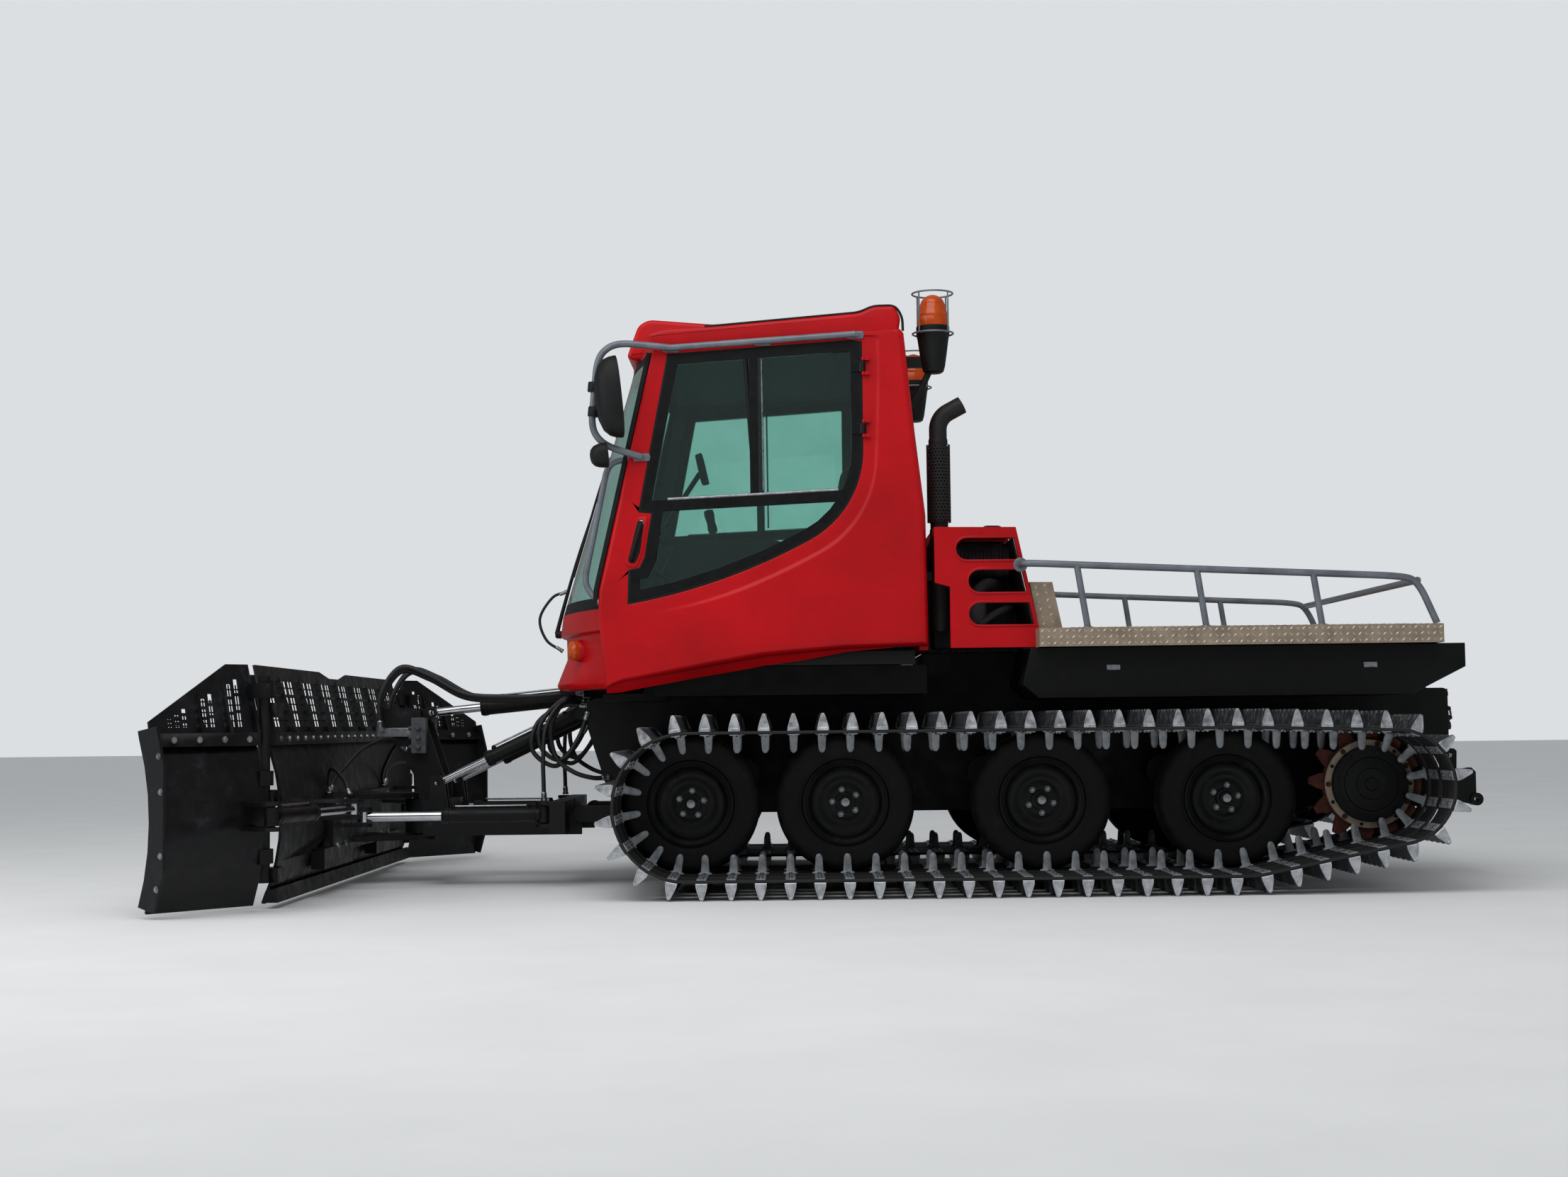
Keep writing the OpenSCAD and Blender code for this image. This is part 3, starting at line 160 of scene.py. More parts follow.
def spots(tree, scale, detail=4.0, rough=0.6, stretch=(1, 1, 1)):
    """Noise over the object's own coordinates. The scale is in repeats a metre, stretched along the axes."""
    where = add(tree, "TexCoord").outputs["Object"]
    where = add(tree, "Mapping", {"Vector": where, "Scale": stretch}).outputs["Vector"]
    links = {"Vector": where, "Scale": scale, "Detail": detail, "Roughness": rough}
    return add(tree, "TexNoise", links).outputs["Fac"]


def ramp(tree, value, stops):
    """Colour ramp from (place, screen colour) pairs."""
    node = add(tree, "ValToRGB", {"Fac": value})
    while len(node.color_ramp.elements) < len(stops):
        node.color_ramp.elements.new(0.5)
    for element, (place, hex_colour) in zip(node.color_ramp.elements, stops):
        element.position = place
        element.color = linear(hex_colour)
    return node.outputs["Color"]


def span(tree, value, low, high, to_low, to_high):
    """Maps a value from one span to another, clamped."""
    links = {"Value": value, "From Min": low, "From Max": high, "To Min": to_low, "To Max": to_high}
    return add(tree, "MapRange", links).outputs["Result"]


def relief(tree, bsdf, height, depth, strength=1.0):
    """Bump of a height between 0 and 1 that stands for a depth in metres."""
    links = {"Height": height, "Distance": depth, "Strength": strength}
    tree.links.new(add(tree, "Bump", links).outputs["Normal"], bsdf.inputs["Normal"])


def clouded(name, scale, stops, **shader):
    """A material whose colour drifts with one noise. Its other sockets are constants."""
    mat, tree, bsdf = new_material(name, **shader)
    tree.links.new(ramp(tree, spots(tree, scale), stops), bsdf.inputs["Base Color"])
    return mat


def speckled(name, stops, scale, rough, bump=0.0, fine=None, stretch=(1, 1, 1), **shader):
    """A material whose colour and roughness follow one noise and whose relief follows a finer one."""
    mat, tree, bsdf = new_material(name, **shader)
    noise = spots(tree, scale, stretch=stretch)
    tree.links.new(ramp(tree, noise, stops), bsdf.inputs["Base Color"])
    tree.links.new(span(tree, noise, 0.3, 0.7, *rough), bsdf.inputs["Roughness"])
    if bump:
        relief(tree, bsdf, spots(tree, fine or scale * 6, stretch=stretch), bump)
    return mat


# %% [markdown]
# ## Body lacquer
# The cab is pressed and moulded panels sprayed in a glossy red two pack enamel. A clear coat on top gives
# the sharp reflections, and under it the colour drifts a little where sun and road dirt have been.

# %% Body lacquer
lacquer = clouded(
    "sprayed_red_enamel", 2.2, [(0.3, "#a60008"), (0.55, "#ba000c"), (0.75, "#c60010")],
    Roughness=0.42, Coat_Weight=0.08, Coat_Roughness=0.1, Coat_IOR=1.5, Specular_IOR_Level=0.2)
# Sprayed lacquer dries with a skin like orange peel, cells of about 2 mm
tree = lacquer.node_tree
relief(tree, tree.nodes["Principled BSDF"], spots(tree, 500, detail=1.0), 0.04 * mm, 0.35)
print("lacquer nodes:", len(tree.nodes))

# %% [markdown]
# ## Black enamel
# Frame, blade and arms are welded steel in a satin black enamel, dusty with dried salt in patches and
# scuffed brighter here and there.

# %% Black paints and plastics
frame_black = speckled(
    "satin_black_enamel", [(0.25, "#040506"), (0.6, "#0a0b0d"), (0.8, "#1a1b1d")],
    9.0, (0.34, 0.62), bump=0.0004, fine=120, Specular_IOR_Level=0.25)
blade_black = speckled(
    "scuffed_black_enamel", [(0.25, "#050607"), (0.6, "#0c0d10"), (0.76, "#222327"), (0.88, "#45464a")],
    14.0, (0.38, 0.66), bump=0.0006, fine=90, Specular_IOR_Level=0.3)
door_black = speckled(
    "powder_coated_door_frame", [(0.3, "#060708"), (0.7, "#0d0e10")],
    20.0, (0.34, 0.46), bump=0.0001, fine=900, Specular_IOR_Level=0.25)
trim_black = speckled(
    "moulded_black_plastic", [(0.3, "#08090a"), (0.7, "#121315")],
    30.0, (0.5, 0.62), bump=0.00015, fine=700, Specular_IOR_Level=0.3)
lining = speckled(
    "grey_cab_lining", [(0.3, "#2c2e31"), (0.7, "#3a3c40")],
    25.0, (0.7, 0.85), bump=0.0003, fine=400)

# %% Rubbers
belt_rubber = speckled(
    "cord_reinforced_rubber", [(0.3, "#0d0d0e"), (0.7, "#1c1c1d")],
    40.0, (0.6, 0.8), bump=0.0004, fine=300)
tyre_rubber = speckled(
    "tyre_rubber", [(0.3, "#070708"), (0.62, "#0f0f10"), (0.85, "#222223")],
    12.0, (0.62, 0.82), bump=0.0003, fine=350, Specular_IOR_Level=0.3)
hose_rubber = speckled(
    "braided_hose_rubber", [(0.3, "#0e0f10"), (0.7, "#1a1b1d")],
    60.0, (0.42, 0.6), bump=0.0003, fine=600)

# %% Metals
bar_metal = speckled(
    "extruded_aluminium", [(0.3, "#9a9da1"), (0.55, "#c6c9cd"), (0.8, "#e2e4e6")],
    30.0, (0.28, 0.55), bump=0.0002, fine=260, Metallic=0.85)
worn_bar = speckled(
    "oxidised_aluminium_bar", [(0.3, "#45474a"), (0.55, "#66696d"), (0.8, "#a4a7aa")],
    34.0, (0.4, 0.65), bump=0.0005, fine=240, Metallic=0.7)
worn_steel = speckled(
    "worn_bright_steel", [(0.3, "#7d8085"), (0.7, "#b4b7bb")],
    40.0, (0.25, 0.5), bump=0.0002, fine=300, Metallic=1.0)
chrome = speckled("hard_chromed_rod", [(0.3, "#b9bcc0"), (0.7, "#d6d8db")], 15.0, (0.08, 0.2), Metallic=1.0)
rust = speckled(
    "rusted_cast_steel", [(0.25, "#28130e"), (0.5, "#4d2217"), (0.68, "#6a321f"), (0.85, "#854e31")],
    24.0, (0.7, 0.92), bump=0.0012, fine=160)
horn_steel = speckled(
    "galvanised_steel", [(0.3, "#75797d"), (0.55, "#9a9ea2"), (0.8, "#b5b8bb")],
    35.0, (0.4, 0.65), bump=0.0004, fine=220, Metallic=0.6)
rim_black = speckled(
    "dusty_black_rim", [(0.3, "#060708"), (0.62, "#101112"), (0.82, "#2c2d2f")],
    16.0, (0.4, 0.65), bump=0.0003, fine=150, Specular_IOR_Level=0.3)
plate_wear = speckled(
    "rubbed_plate_lugs", [(0.3, "#b3a592"), (0.7, "#d6cab8")],
    60.0, (0.3, 0.5), bump=0.0001, fine=400, Metallic=0.45)
rail_paint = speckled(
    "grey_painted_tube", [(0.3, "#5f656d"), (0.7, "#7b8189")],
    10.0, (0.3, 0.5), bump=0.0002, fine=200, Metallic=0.25)
cast_grey = speckled(
    "grey_cast_iron", [(0.3, "#2e3033"), (0.7, "#4a4d51")],
    20.0, (0.55, 0.75), bump=0.0015, fine=130)
plate_metal = speckled(
    "rolled_chequer_plate", [(0.3, "#857868"), (0.5, "#998a78"), (0.72, "#a99a86")],
    11.0, (0.42, 0.62), bump=0.0003, fine=150, Metallic=0.35)

# %% Glass and lenses
window = clouded(
    "tinted_window_glass", 3.0, [(0.3, "#a9d6cb"), (0.7, "#b8e0d6")],
    Roughness=0.02, IOR=1.5, Transmission_Weight=1.0)
amber = clouded(
    "amber_acrylic_lens", 14.0, [(0.3, "#b8400a"), (0.7, "#d4560c")],
    Roughness=0.16, IOR=1.49, Transmission_Weight=0.2)
clear_lens = clouded(
    "clear_lamp_glass", 20.0, [(0.3, "#cfd2d3"), (0.7, "#e6e8e8")],
    Roughness=0.08, IOR=1.5, Transmission_Weight=0.5)
ring_steel = speckled(
    "bare_ring_steel", [(0.3, "#8a7d6c"), (0.6, "#a99c89"), (0.8, "#7b6247")],
    18.0, (0.4, 0.6), bump=0.0003, fine=160, Metallic=0.4)
mirror_glass = clouded(
    "silvered_mirror", 8.0, [(0.3, "#c9ced1"), (0.7, "#d8dcde")],
    Metallic=1.0, Roughness=0.03)
exhaust_black = speckled(
    "heat_proof_black", [(0.3, "#0c0c0d"), (0.62, "#19191a"), (0.84, "#3b2f29")],
    16.0, (0.55, 0.75), bump=0.0004, fine=160)
seat_cloth = speckled(
    "woven_seat_cloth", [(0.3, "#1c1e22"), (0.7, "#33363c")],
    900.0, (0.85, 0.95), bump=0.0006, fine=700)
print("materials:", len(bpy.data.materials))

# %% Finish of the solids
finishes = {
    lacquer: "cab_side_left cab_side_right cab_roof cab_nose cab_rear_wall engine_covers hood_lid",
    frame_black: "rims wheel_arms final_drives chassis_frame side_boxes exhaust rear_lift push_frame "
    "lift_barrels top_barrel angle_barrel_left angle_barrel_right "
    "wing_barrel_left wing_barrel_right rear_barrel",
    blade_black: "blade wing_left wing_right",
    chrome: "lift_rods top_rod angle_rod_left angle_rod_right wing_rod_left wing_rod_right rear_rod",
    door_black: "door_left door_right wiper",
    trim_black: "dashboard steering cab_floor",
    window: "windscreen rear_window door_glass_left door_glass_right",
    amber: "beacons lamps",
    cast_grey: "engine_block",
    plate_metal: "deck",
    rail_paint: "deck_rails mirrors",
    rust: "sprockets",
    tyre_rubber: "tyres",
    belt_rubber: "track_left track_right",
    seat_cloth: "seats",
}
for mat, names in finishes.items():
    for name in names.split():
        nodes[name].data.materials.clear()
        nodes[name].data.materials.append(mat)
print("solids with a finish:", sum(len(names.split()) for names in finishes.values()))

# %% [markdown]
# ## Shapes from numpy
# Every added piece is a surface worked out as whole arrays: rings of points that are joined to the next
# ring. The same few functions make belts, bars, tyres, hoses and panels.


# %% Surfaces over rings of points
def joined(m, n, loop_m=False, loop_n=True):
    """Quads between m rings of n points. Point (i, j) meets (i+1, j) and (i, j+1), modulo the loops."""
    i = np.arange(m if loop_m else m - 1)[:, None]
    j = np.arange(n if loop_n else n - 1)[None, :]
    a, b = i * n + j, i * n + (j + 1) % n
    c, d = (i + 1) % m * n + (j + 1) % n, (i + 1) % m * n + j
    return np.stack([a, b, c, d], -1).reshape(-1, 4).tolist()


def loft(rings, caps=True, loop=False):
    """A closed skin over rings of shape (m, n, 3), with flat caps on the first and last ring."""
    rings = np.asarray(rings, float)
    m, n = rings.shape[:2]
    faces = joined(m, n, loop)
    if caps and not loop:
        faces += [list(range(n))[::-1], list(range((m - 1) * n, m * n))]
    return rings.reshape(-1, 3), faces


def repeated(points, faces, frames):
    """Copies of one shape. frames is (k, 4, 3): the three axes and the place of each copy."""
    frames = np.asarray(frames, float)
    verts = points @ frames[:, :3] + frames[:, 3:4]
    n = len(points)
    return verts.reshape(-1, 3), [[v + i * n for v in f] for i in range(len(frames)) for f in faces]


def together(*shapes):
    """Several shapes as one, with the faces' numbers shifted past the points before them."""
    verts, faces, start = [], [], 0
    for v, f in shapes:
        verts.append(v)
        faces += [[k + start for k in q] for q in f]
        start += len(v)
    return np.concatenate(verts), faces


def mirrored(shape):
    """The shape on the other side of the middle plane, its faces turned so that they still point out."""
    verts, faces = shape
    return verts * [1, -1, 1], [f[::-1] for f in faces]


def both_sides(shape):
    """The left side's shape together with its mirror image."""
    return together(shape, mirrored(shape))


def as_is(shape):
    """The left side's shape, unchanged."""
    return shape


def moved(shape, by):
    """The shape moved by a vector."""
    verts, faces = shape
    return verts + np.asarray(by, float), faces


each_side = (("left", as_is), ("right", mirrored))


# %% Pieces in the scene
def shown(name, mesh, crease):
    """A new object for a mesh, smooth but for the edges that turn by more than the crease angle."""
    mesh.shade_smooth()
    mesh.set_sharp_from_angle(angle=math.radians(crease))
    made = bpy.data.objects.new(name, mesh)
    bpy.context.scene.collection.objects.link(made)
    return made


def bevelled(made, width, segments=2, angle=30):
    """Rounds the edges that turn by more than the angle."""
    bevel = made.modifiers.new("edge", "BEVEL")
    bevel.width, bevel.segments, bevel.limit_method = width, segments, "ANGLE"
    bevel.angle_limit = math.radians(angle)
    return bevel


def piece(name, shape, material, body="chassis", replaces=(), crease=35, edge=0.0):
    """Puts a shape into the scene, smooth below the crease angle, with its edges rounded by a bevel. It rides
    on one body. When body is (first, second, start, end), it stays where it is, on no body."""
    verts, faces = shape
    mesh = bpy.data.meshes.new(name)
    mesh.from_pydata(np.asarray(verts).tolist(), [], faces)
    mesh.materials.append(material)
    made = shown(name, mesh, crease)
    if edge:
        bevelled(made, edge)
    if isinstance(body, str):
        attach(made, body)
    else:
        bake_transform(made)
    if replaces:
        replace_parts(made, *replaces)
    print(name, "on", body if isinstance(body, str) else body[:2], "faces:", len(faces))
    return made


def pair(name, shapes, material, **more):
    """The shapes of the left side with their mirror images, as one piece on the chassis."""
    return piece(name, both_sides(together(*shapes)), material, **more)


# %% Outlines
def anticlockwise(loop):
    """The outline, turned over if its signed area, half the sum of x0 z1 - x1 z0, is negative."""
    p = np.asarray(loop, float)
    q = np.roll(p, -1, 0)
    return p if (p[:, 0] * q[:, 1] - q[:, 0] * p[:, 1]).sum() > 0 else p[::-1]


def grown(loop, d):
    """A closed anticlockwise outline moved outwards by d: each corner goes along the sum of the normals of
    its two sides, divided by one plus their product, so both sides move by d."""
    p = np.asarray(loop, float)
    side = np.roll(p, -1, 0) - p
    n = np.stack([side[:, 1], -side[:, 0]], 1) / np.linalg.norm(side, axis=1)[:, None]
    before = np.roll(n, 1, 0)
    return p + (n + before) * d / (1 + (n * before).sum(1))[:, None]


def rounded(points, radius, closed=False, count=6):
    """A line with its corners replaced by parabolas (1-t)^2 a + 2t(1-t) b + t^2 c, which touch both sides at
    the given distance from the corner, or at 45 % of a shorter side."""
    p = np.asarray(points, float)
    n = len(p)
    t = np.linspace(0, 1, count + 1)[:, None]
    out = [] if closed else [p[:1]]
    for i in range(n) if closed else range(1, n - 1):
        a, b, c = p[i - 1], p[i], p[(i + 1) % n]
        start = b + (a - b) * min(radius / np.linalg.norm(a - b), 0.45)
        end = b + (c - b) * min(radius / np.linalg.norm(c - b), 0.45)
        out.append((1 - t) ** 2 * start + 2 * t * (1 - t) * b + t**2 * end)
    return np.concatenate(out if closed else out + [p[-1:]])


def soft_loop(points, radius):
    """A closed anticlockwise outline with rounded corners."""
    return rounded(anticlockwise(points), radius, closed=True)


def upright(outline, y):
    """A side view outline (x, z) as a ring at the place y across the machine."""
    p = np.asarray(outline, float)
    return np.stack([p[:, 0], np.full(len(p), y), p[:, 1]], 1)


# %% Blocks, slabs, mouldings and turned shapes
def block(low, high):
    """A box between two corners, as four corner points lofted upwards."""
    (x0, y0, z0), (x1, y1, z1) = low, high
    ring = np.array([(x0, y0, 0), (x1, y0, 0), (x1, y1, 0), (x0, y1, 0)], float)
    return loft([ring + [0, 0, z0], ring + [0, 0, z1]])


def slab(outline, y0, y1):
    """A side view outline in X and Z, given the thickness from y0 to y1."""
    p = anticlockwise(outline)
    return loft([upright(p, y1), upright(p, y0)])


def moulding(outline, half, roll, steps=6):
    """A side view outline carried across the machine from -half to +half, its ends rolled over by a quarter
    circle: at a distance e inside the end the outline stands r - sqrt(r^2 - (r - e)^2) further in."""
    outline = anticlockwise(outline)
    t = np.linspace(0, pi / 2, steps + 1)
    y = np.concatenate([-half + roll * (1 - np.cos(t)), half - roll * (1 - np.cos(t[::-1]))])
    inset = np.concatenate([roll * (1 - np.sin(t)), roll * (1 - np.sin(t[::-1]))])
    return loft([upright(grown(outline, -d), place)[::-1] for place, d in zip(y, inset)])


def turn_steps(count):
    """One whole turn in equal steps, in radians."""
    return np.arange(count) * 2 * pi / count


def spun(profile, centre, axis=(0, 1, 0), count=32):
    """A profile of (radius, place along the axis) pairs turned about the axis through the centre."""
    axis = np.asarray(axis, float) / np.linalg.norm(axis)
    side = np.cross(axis, [0, 0, 1] if abs(axis[2]) < 0.9 else [1, 0, 0])
    side /= np.linalg.norm(side)
    up = np.cross(axis, side)
    a = turn_steps(count)
    circle = np.cos(a)[:, None] * side + np.sin(a)[:, None] * up
    r, s = np.asarray(profile, float).T
    rings = np.asarray(centre) + s[:, None, None] * axis + r[:, None, None] * circle
    return loft(rings, caps=True)


def turned(profile, centre, axis=(0, 1, 0), count=32):
    """The same with the profile in millimetres."""
    return spun(np.asarray(profile, float) * mm, centre, axis, count)


# %% Lines and tubes
def curve_through(points, count):
    """Smooth line through points: between two of them, the cubic that takes its slope from its neighbours
    (Catmull-Rom), sampled evenly in the parameter."""
    p = np.asarray(points, float)
    p = np.concatenate([[2 * p[0] - p[1]], p, [2 * p[-1] - p[-2]]])
    t = np.linspace(0, len(p) - 3 - 1e-9, count)
    i = t.astype(int)
    f = (t - i)[:, None]
    a, b, c, d = p[i], p[i + 1], p[i + 2], p[i + 3]
    return 0.5 * (2 * b + (c - a) * f + (2 * a - 5 * b + 4 * c - d) * f**2 + (3 * b - a - 3 * c + d) * f**3)


def tube_rings(path, radius, sides=10):
    """Rings round a path. Each ring stands square to the path, and its first direction is the last one with
    the part along the path taken away, so the tube doesn't twist."""
    path = np.asarray(path, float)
    along = np.gradient(path, axis=0)
    along /= np.linalg.norm(along, axis=1)[:, None]
    first = np.cross(along[0], [0, 0, 1] if abs(along[0][2]) < 0.9 else [1, 0, 0])
    sides_of = []
    for t in along:
        first = first - t * (first @ t)
        first /= np.linalg.norm(first)
        sides_of.append(first)
    u = np.array(sides_of)
    v = np.cross(along, u)
    a = turn_steps(sides)
    radius = np.broadcast_to(radius, len(path))[:, None, None]
    return path[:, None] + radius * (np.cos(a)[:, None] * u[:, None] + np.sin(a)[:, None] * v[:, None])


def piped(path, radius, sides=10):
    """A closed round tube along a path."""
    return loft(tube_rings(path, radius, sides))


def hoop(centre, radius, wire, sides=10, count=48):
    """A level ring of round wire: the wire's circle turned about the upright axis through the centre."""
    b = turn_steps(sides)
    a = turn_steps(count)
    r = radius + wire * np.cos(b)[:, None]
    z = np.broadcast_to(wire * np.sin(b)[:, None], (sides, count))
    rings = np.stack([r * np.cos(a), r * np.sin(a), z], -1) + np.asarray(centre)
    return loft(rings, caps=False, loop=True)


# %% [markdown]
# ## Tracks
# Each track is a set of cord reinforced rubber belts with an aluminium bar bolted across them at every
# 125 mm. The bar is an extrusion with a broad foot and a thin edge that bites the snow. Inside, a plate
# under each bolt carries a steel tongue that keeps the tyres in their lane, and the sprocket's teeth push
# on the bars through the open row between two belts. The same closed path as in the solids carries all.

# %% The path of the belts
tyre_r, tyre_w, tyre_y = 305 * mm, 180 * mm, 900 * mm
bar_h, belt_t, seat = 75 * mm, 12 * mm, 0.3 * mm
front_axle_x, axle_steps = 0.778, (0, 0.681, 1.546, 2.361)
sprocket_step, sprocket_rise = 2.994, 0.055
axle_z = bar_h + belt_t + seat + tyre_r
axles = np.array([(front_axle_x - s, axle_z) for s in axle_steps])
sprocket = np.array([front_axle_x - sprocket_step, axle_z + sprocket_rise])
teeth, pitch = 12, 0.125
belt_r = teeth * pitch / (2 * pi) - belt_t / 2
wheel_r = tyre_r + seat
link = sprocket - axles[3]
link_a = math.atan2(link[1], link[0])
spread = math.acos((wheel_r - belt_r) / np.linalg.norm(link))
link_l = math.sqrt(link @ link - (wheel_r - belt_r) ** 2)
base_l = axle_steps[-1]
# centre, inner radius, first and last angle, straight run before it
bends = [
    (axles[3], wheel_r, 1.5 * pi, link_a + spread, base_l),
    (sprocket, belt_r, link_a + spread, link_a - spread, link_l),
    (axles[3], wheel_r, link_a - spread, pi / 2, link_l),
    (axles[0], wheel_r, pi / 2, -pi / 2, base_l),
]
loop_l = sum(b[4] + (b[2] - b[3]) * (b[1] + belt_t / 2) for b in bends)
bars = round(loop_l / pitch)
step = loop_l / bars


def on_track(s, out=0.0, ahead=0.0):
    """Points in the side view at length s along the path, pushed outwards and ahead. On a straight run the
    point slides along the tangent of the bend that follows. On a bend the angle falls by length over
    radius."""
    s = np.mod(np.asarray(s, float), loop_l)
    x, z, turn = np.zeros_like(s), np.zeros_like(s), np.zeros_like(s)
    start = 0.0
    for centre, r, a0, a1, run in bends:
        bend = (a0 - a1) * (r + belt_t / 2)
        here = (s >= start) & (s <= start + run + bend)
        left = s - start - run
        a = a0 - np.maximum(left, 0) / (r + belt_t / 2)
        slide = np.minimum(left, 0)
        x = np.where(here, centre[0] + slide * np.sin(a0) + (r + out) * np.cos(a), x)
        z = np.where(here, centre[1] - slide * np.cos(a0) + (r + out) * np.sin(a), z)
        turn = np.where(here, a, turn)
        start += run + bend
    return x + ahead * np.sin(turn), z - ahead * np.cos(turn), turn


def bar_frames(s):
    """Axes of each bar at length s: ahead along the belt, across the machine, outwards, and its place."""
    x, z, a = on_track(s)
    zero = np.zeros_like(a)
    ahead = np.stack([np.sin(a), zero, -np.cos(a)], 1)
    across = np.stack([zero, zero + 1, zero], 1)
    outward = np.stack([np.cos(a), zero, np.sin(a)], 1)
    place = np.stack([x, zero, z], 1)
    return np.stack([ahead, across, outward, place], 1)


bar_s = (np.arange(bars) + 0.5) * step
at_bars = bar_frames(bar_s)
track_in, track_out = 0.430, 1.430
print("bars on a track:", bars, "spacing in mm:", round(step * 1000, 2))


# %% Belts
def belt(y0, y1):
    """One belt: a strip of rounded rectangular section carried round the path."""
    s = np.linspace(0, loop_l, 240, endpoint=False)
    soft = 2.5 * mm
    section = [(y0 + soft, 0), (y1 - soft, 0), (y1, soft), (y1, belt_t - soft), (y1 - soft, belt_t),
               (y0 + soft, belt_t), (y0, belt_t - soft), (y0, soft)]
    rings = [upright(np.stack(on_track(s, out)[:2], 1), y) for y, out in section]
    return loft(np.stack(rings, 1), loop=True)


belt_spans = [(432, 566), (606, 722), (762, 868), (932, 1038), (1078, 1206), (1258, 1428)]
belts = together(*[belt(a * mm, b * mm) for a, b in belt_spans])
print("belts on a track:", len(belt_spans))


# %% Bars
def bar_shape(notches=12, notch_step=80, notch_depth=9, lean=10):
    """An extruded bar: ten sided section with a broad foot and a thin edge, its edge notched every 80 mm.

    Each ring across the machine has half widths w(d) at six heights d. In a notch the two top heights
    drop by 9 mm. The last ring of each end leans back by 10 mm at the edge.
    """
    section = mm * np.array([(-26, 0), (26, 0), (26, 5), (17, 9), (11, 36), (7, 75),
                             (-7, 75), (-11, 36), (-17, 9), (-26, 5)])
    ys = [track_in + 8 * mm]
    low = [0.0]
    for k in range(notches):
        y = track_in + (40 + notch_step * k) * mm
        ys += [y, y + 6 * mm, y + 26 * mm, y + 32 * mm]
        low += [0, notch_depth * mm, notch_depth * mm, 0]
    ys.append(track_out - 8 * mm)
    low.append(0.0)
    ys, low = np.array(ys), np.array(low)
    rings = np.zeros((len(ys), len(section), 3))
    rings[..., 0] = section[:, 0]
    rings[..., 1] = ys[:, None]
    rings[..., 2] = section[:, 1] + belt_t
    top = section[:, 1] > 60 * mm
    rings[..., 2] -= top * low[:, None]
    rings[0, top, 1] += lean * mm
    rings[-1, top, 1] -= lean * mm
    return loft(rings)


def end_cap(y, facing):
    """The flat plate on a bar's end: a house shaped outline, a little proud, with a raised rim."""
    outline = mm * np.array([(-25, 1), (25, 1), (25, 14), (20, 34), (9, 68), (4, 74),
                             (-4, 74), (-9, 68), (-20, 34), (-25, 14)])
    middle = outline.mean(0)
    rings = []
    for scale, out in [(1.0, -8), (1.0, 0), (0.94, 2), (0.72, 2), (0.64, -0.5)]:
        p = middle + (outline - middle) * scale
        lean = -10 * mm * np.clip(p[:, 1] / (75 * mm), 0, 1)
        rings.append(np.stack([p[:, 0], y + facing * (out * mm + lean), p[:, 1] + belt_t], 1))
    return loft(rings if facing < 0 else [r[::-1] for r in rings])


# %% Tongues, plates and bolts
def tongue(y):
    """Steel tongue inside the belt: eight sided rings that narrow to a round tip, 84 mm below the belt."""
    corner = np.array([(-0.5, -0.35), (-0.35, -0.5), (0.35, -0.5), (0.5, -0.35),
                       (0.5, 0.35), (0.35, 0.5), (-0.35, 0.5), (-0.5, 0.35)])
    rings = []
    for d, along, thick in [(-2, 62, 26), (4, 60, 24), (9, 38, 20), (40, 33, 16), (68, 30, 14), (78, 24, 11),
                            (84, 12, 7)]:
        ring = [corner[:, 0] * along * mm, y + corner[:, 1] * thick * mm, np.full(8, -d * mm)]
        rings.append(np.stack(ring, 1))
    return loft(rings[::-1])


def inner_plate(y0, y1):
    """The thin plate that the bar's bolts pull against, with its long edges turned down."""
    section = np.array([(-19, -1), (-21, -4), (-12, -5), (12, -5), (21, -4), (19, -1)]) * mm
    return loft([upright(section, y * mm) for y in (y1, y0)])


def bolt_head(y, d=-5, r=9, h=6):
    """Hexagonal head: a six sided ring lofted from its seat, slightly narrower at its top."""
    a = np.arange(6) * pi / 3
    ring = np.stack([np.cos(a), np.sin(a), np.zeros(6)], 1)
    low = ring * r * mm + [0, y * mm, d * mm]
    return loft([low, low * [0.85, 1, 1] + [0, 0, -h * mm]][::-1])


def on_bars(*shapes):
    """Each shape repeated at every bar, all as one."""
    return together(*[repeated(*shape, at_bars) for shape in shapes])


plate_spans = [(436, 562), (610, 718), (1082, 1202), (1262, 1424)]
bolt_places = (470, 530, 640, 690, 1110, 1175, 1295, 1390)
cross_bars = repeated(*bar_shape(), at_bars)
track_pieces = [
    ("belts_", belts, belt_rubber, 50),
    ("track_bars_", cross_bars, worn_bar, 25),
    ("bar_caps_", on_bars(end_cap(track_out - 2 * mm, 1), end_cap(track_in + 2 * mm, -1)), bar_metal, 25),
    ("track_tongues_", on_bars(tongue(1.014), tongue(0.786)), horn_steel, 50),
    ("belt_plates_", on_bars(*[inner_plate(a, b) for a, b in plate_spans]), horn_steel, 25),
    ("track_bolts_", on_bars(*[bolt_head(y) for y in bolt_places]), worn_steel, 25),
]
for side, place in each_side:
    for name, shape, material, crease in track_pieces:
        stands_for = ["track_" + side] if name == "belts_" else ()
        piece(name + side, place(shape), material, "chassis", stands_for, crease)

# %% [markdown]
# ## Wheels
# Ordinary road tyres, worn smooth, on pressed steel rims. A tyre is its section turned about the axle; the
# shoulder blocks come from letting the radius of the outer rings step in and out with the angle.


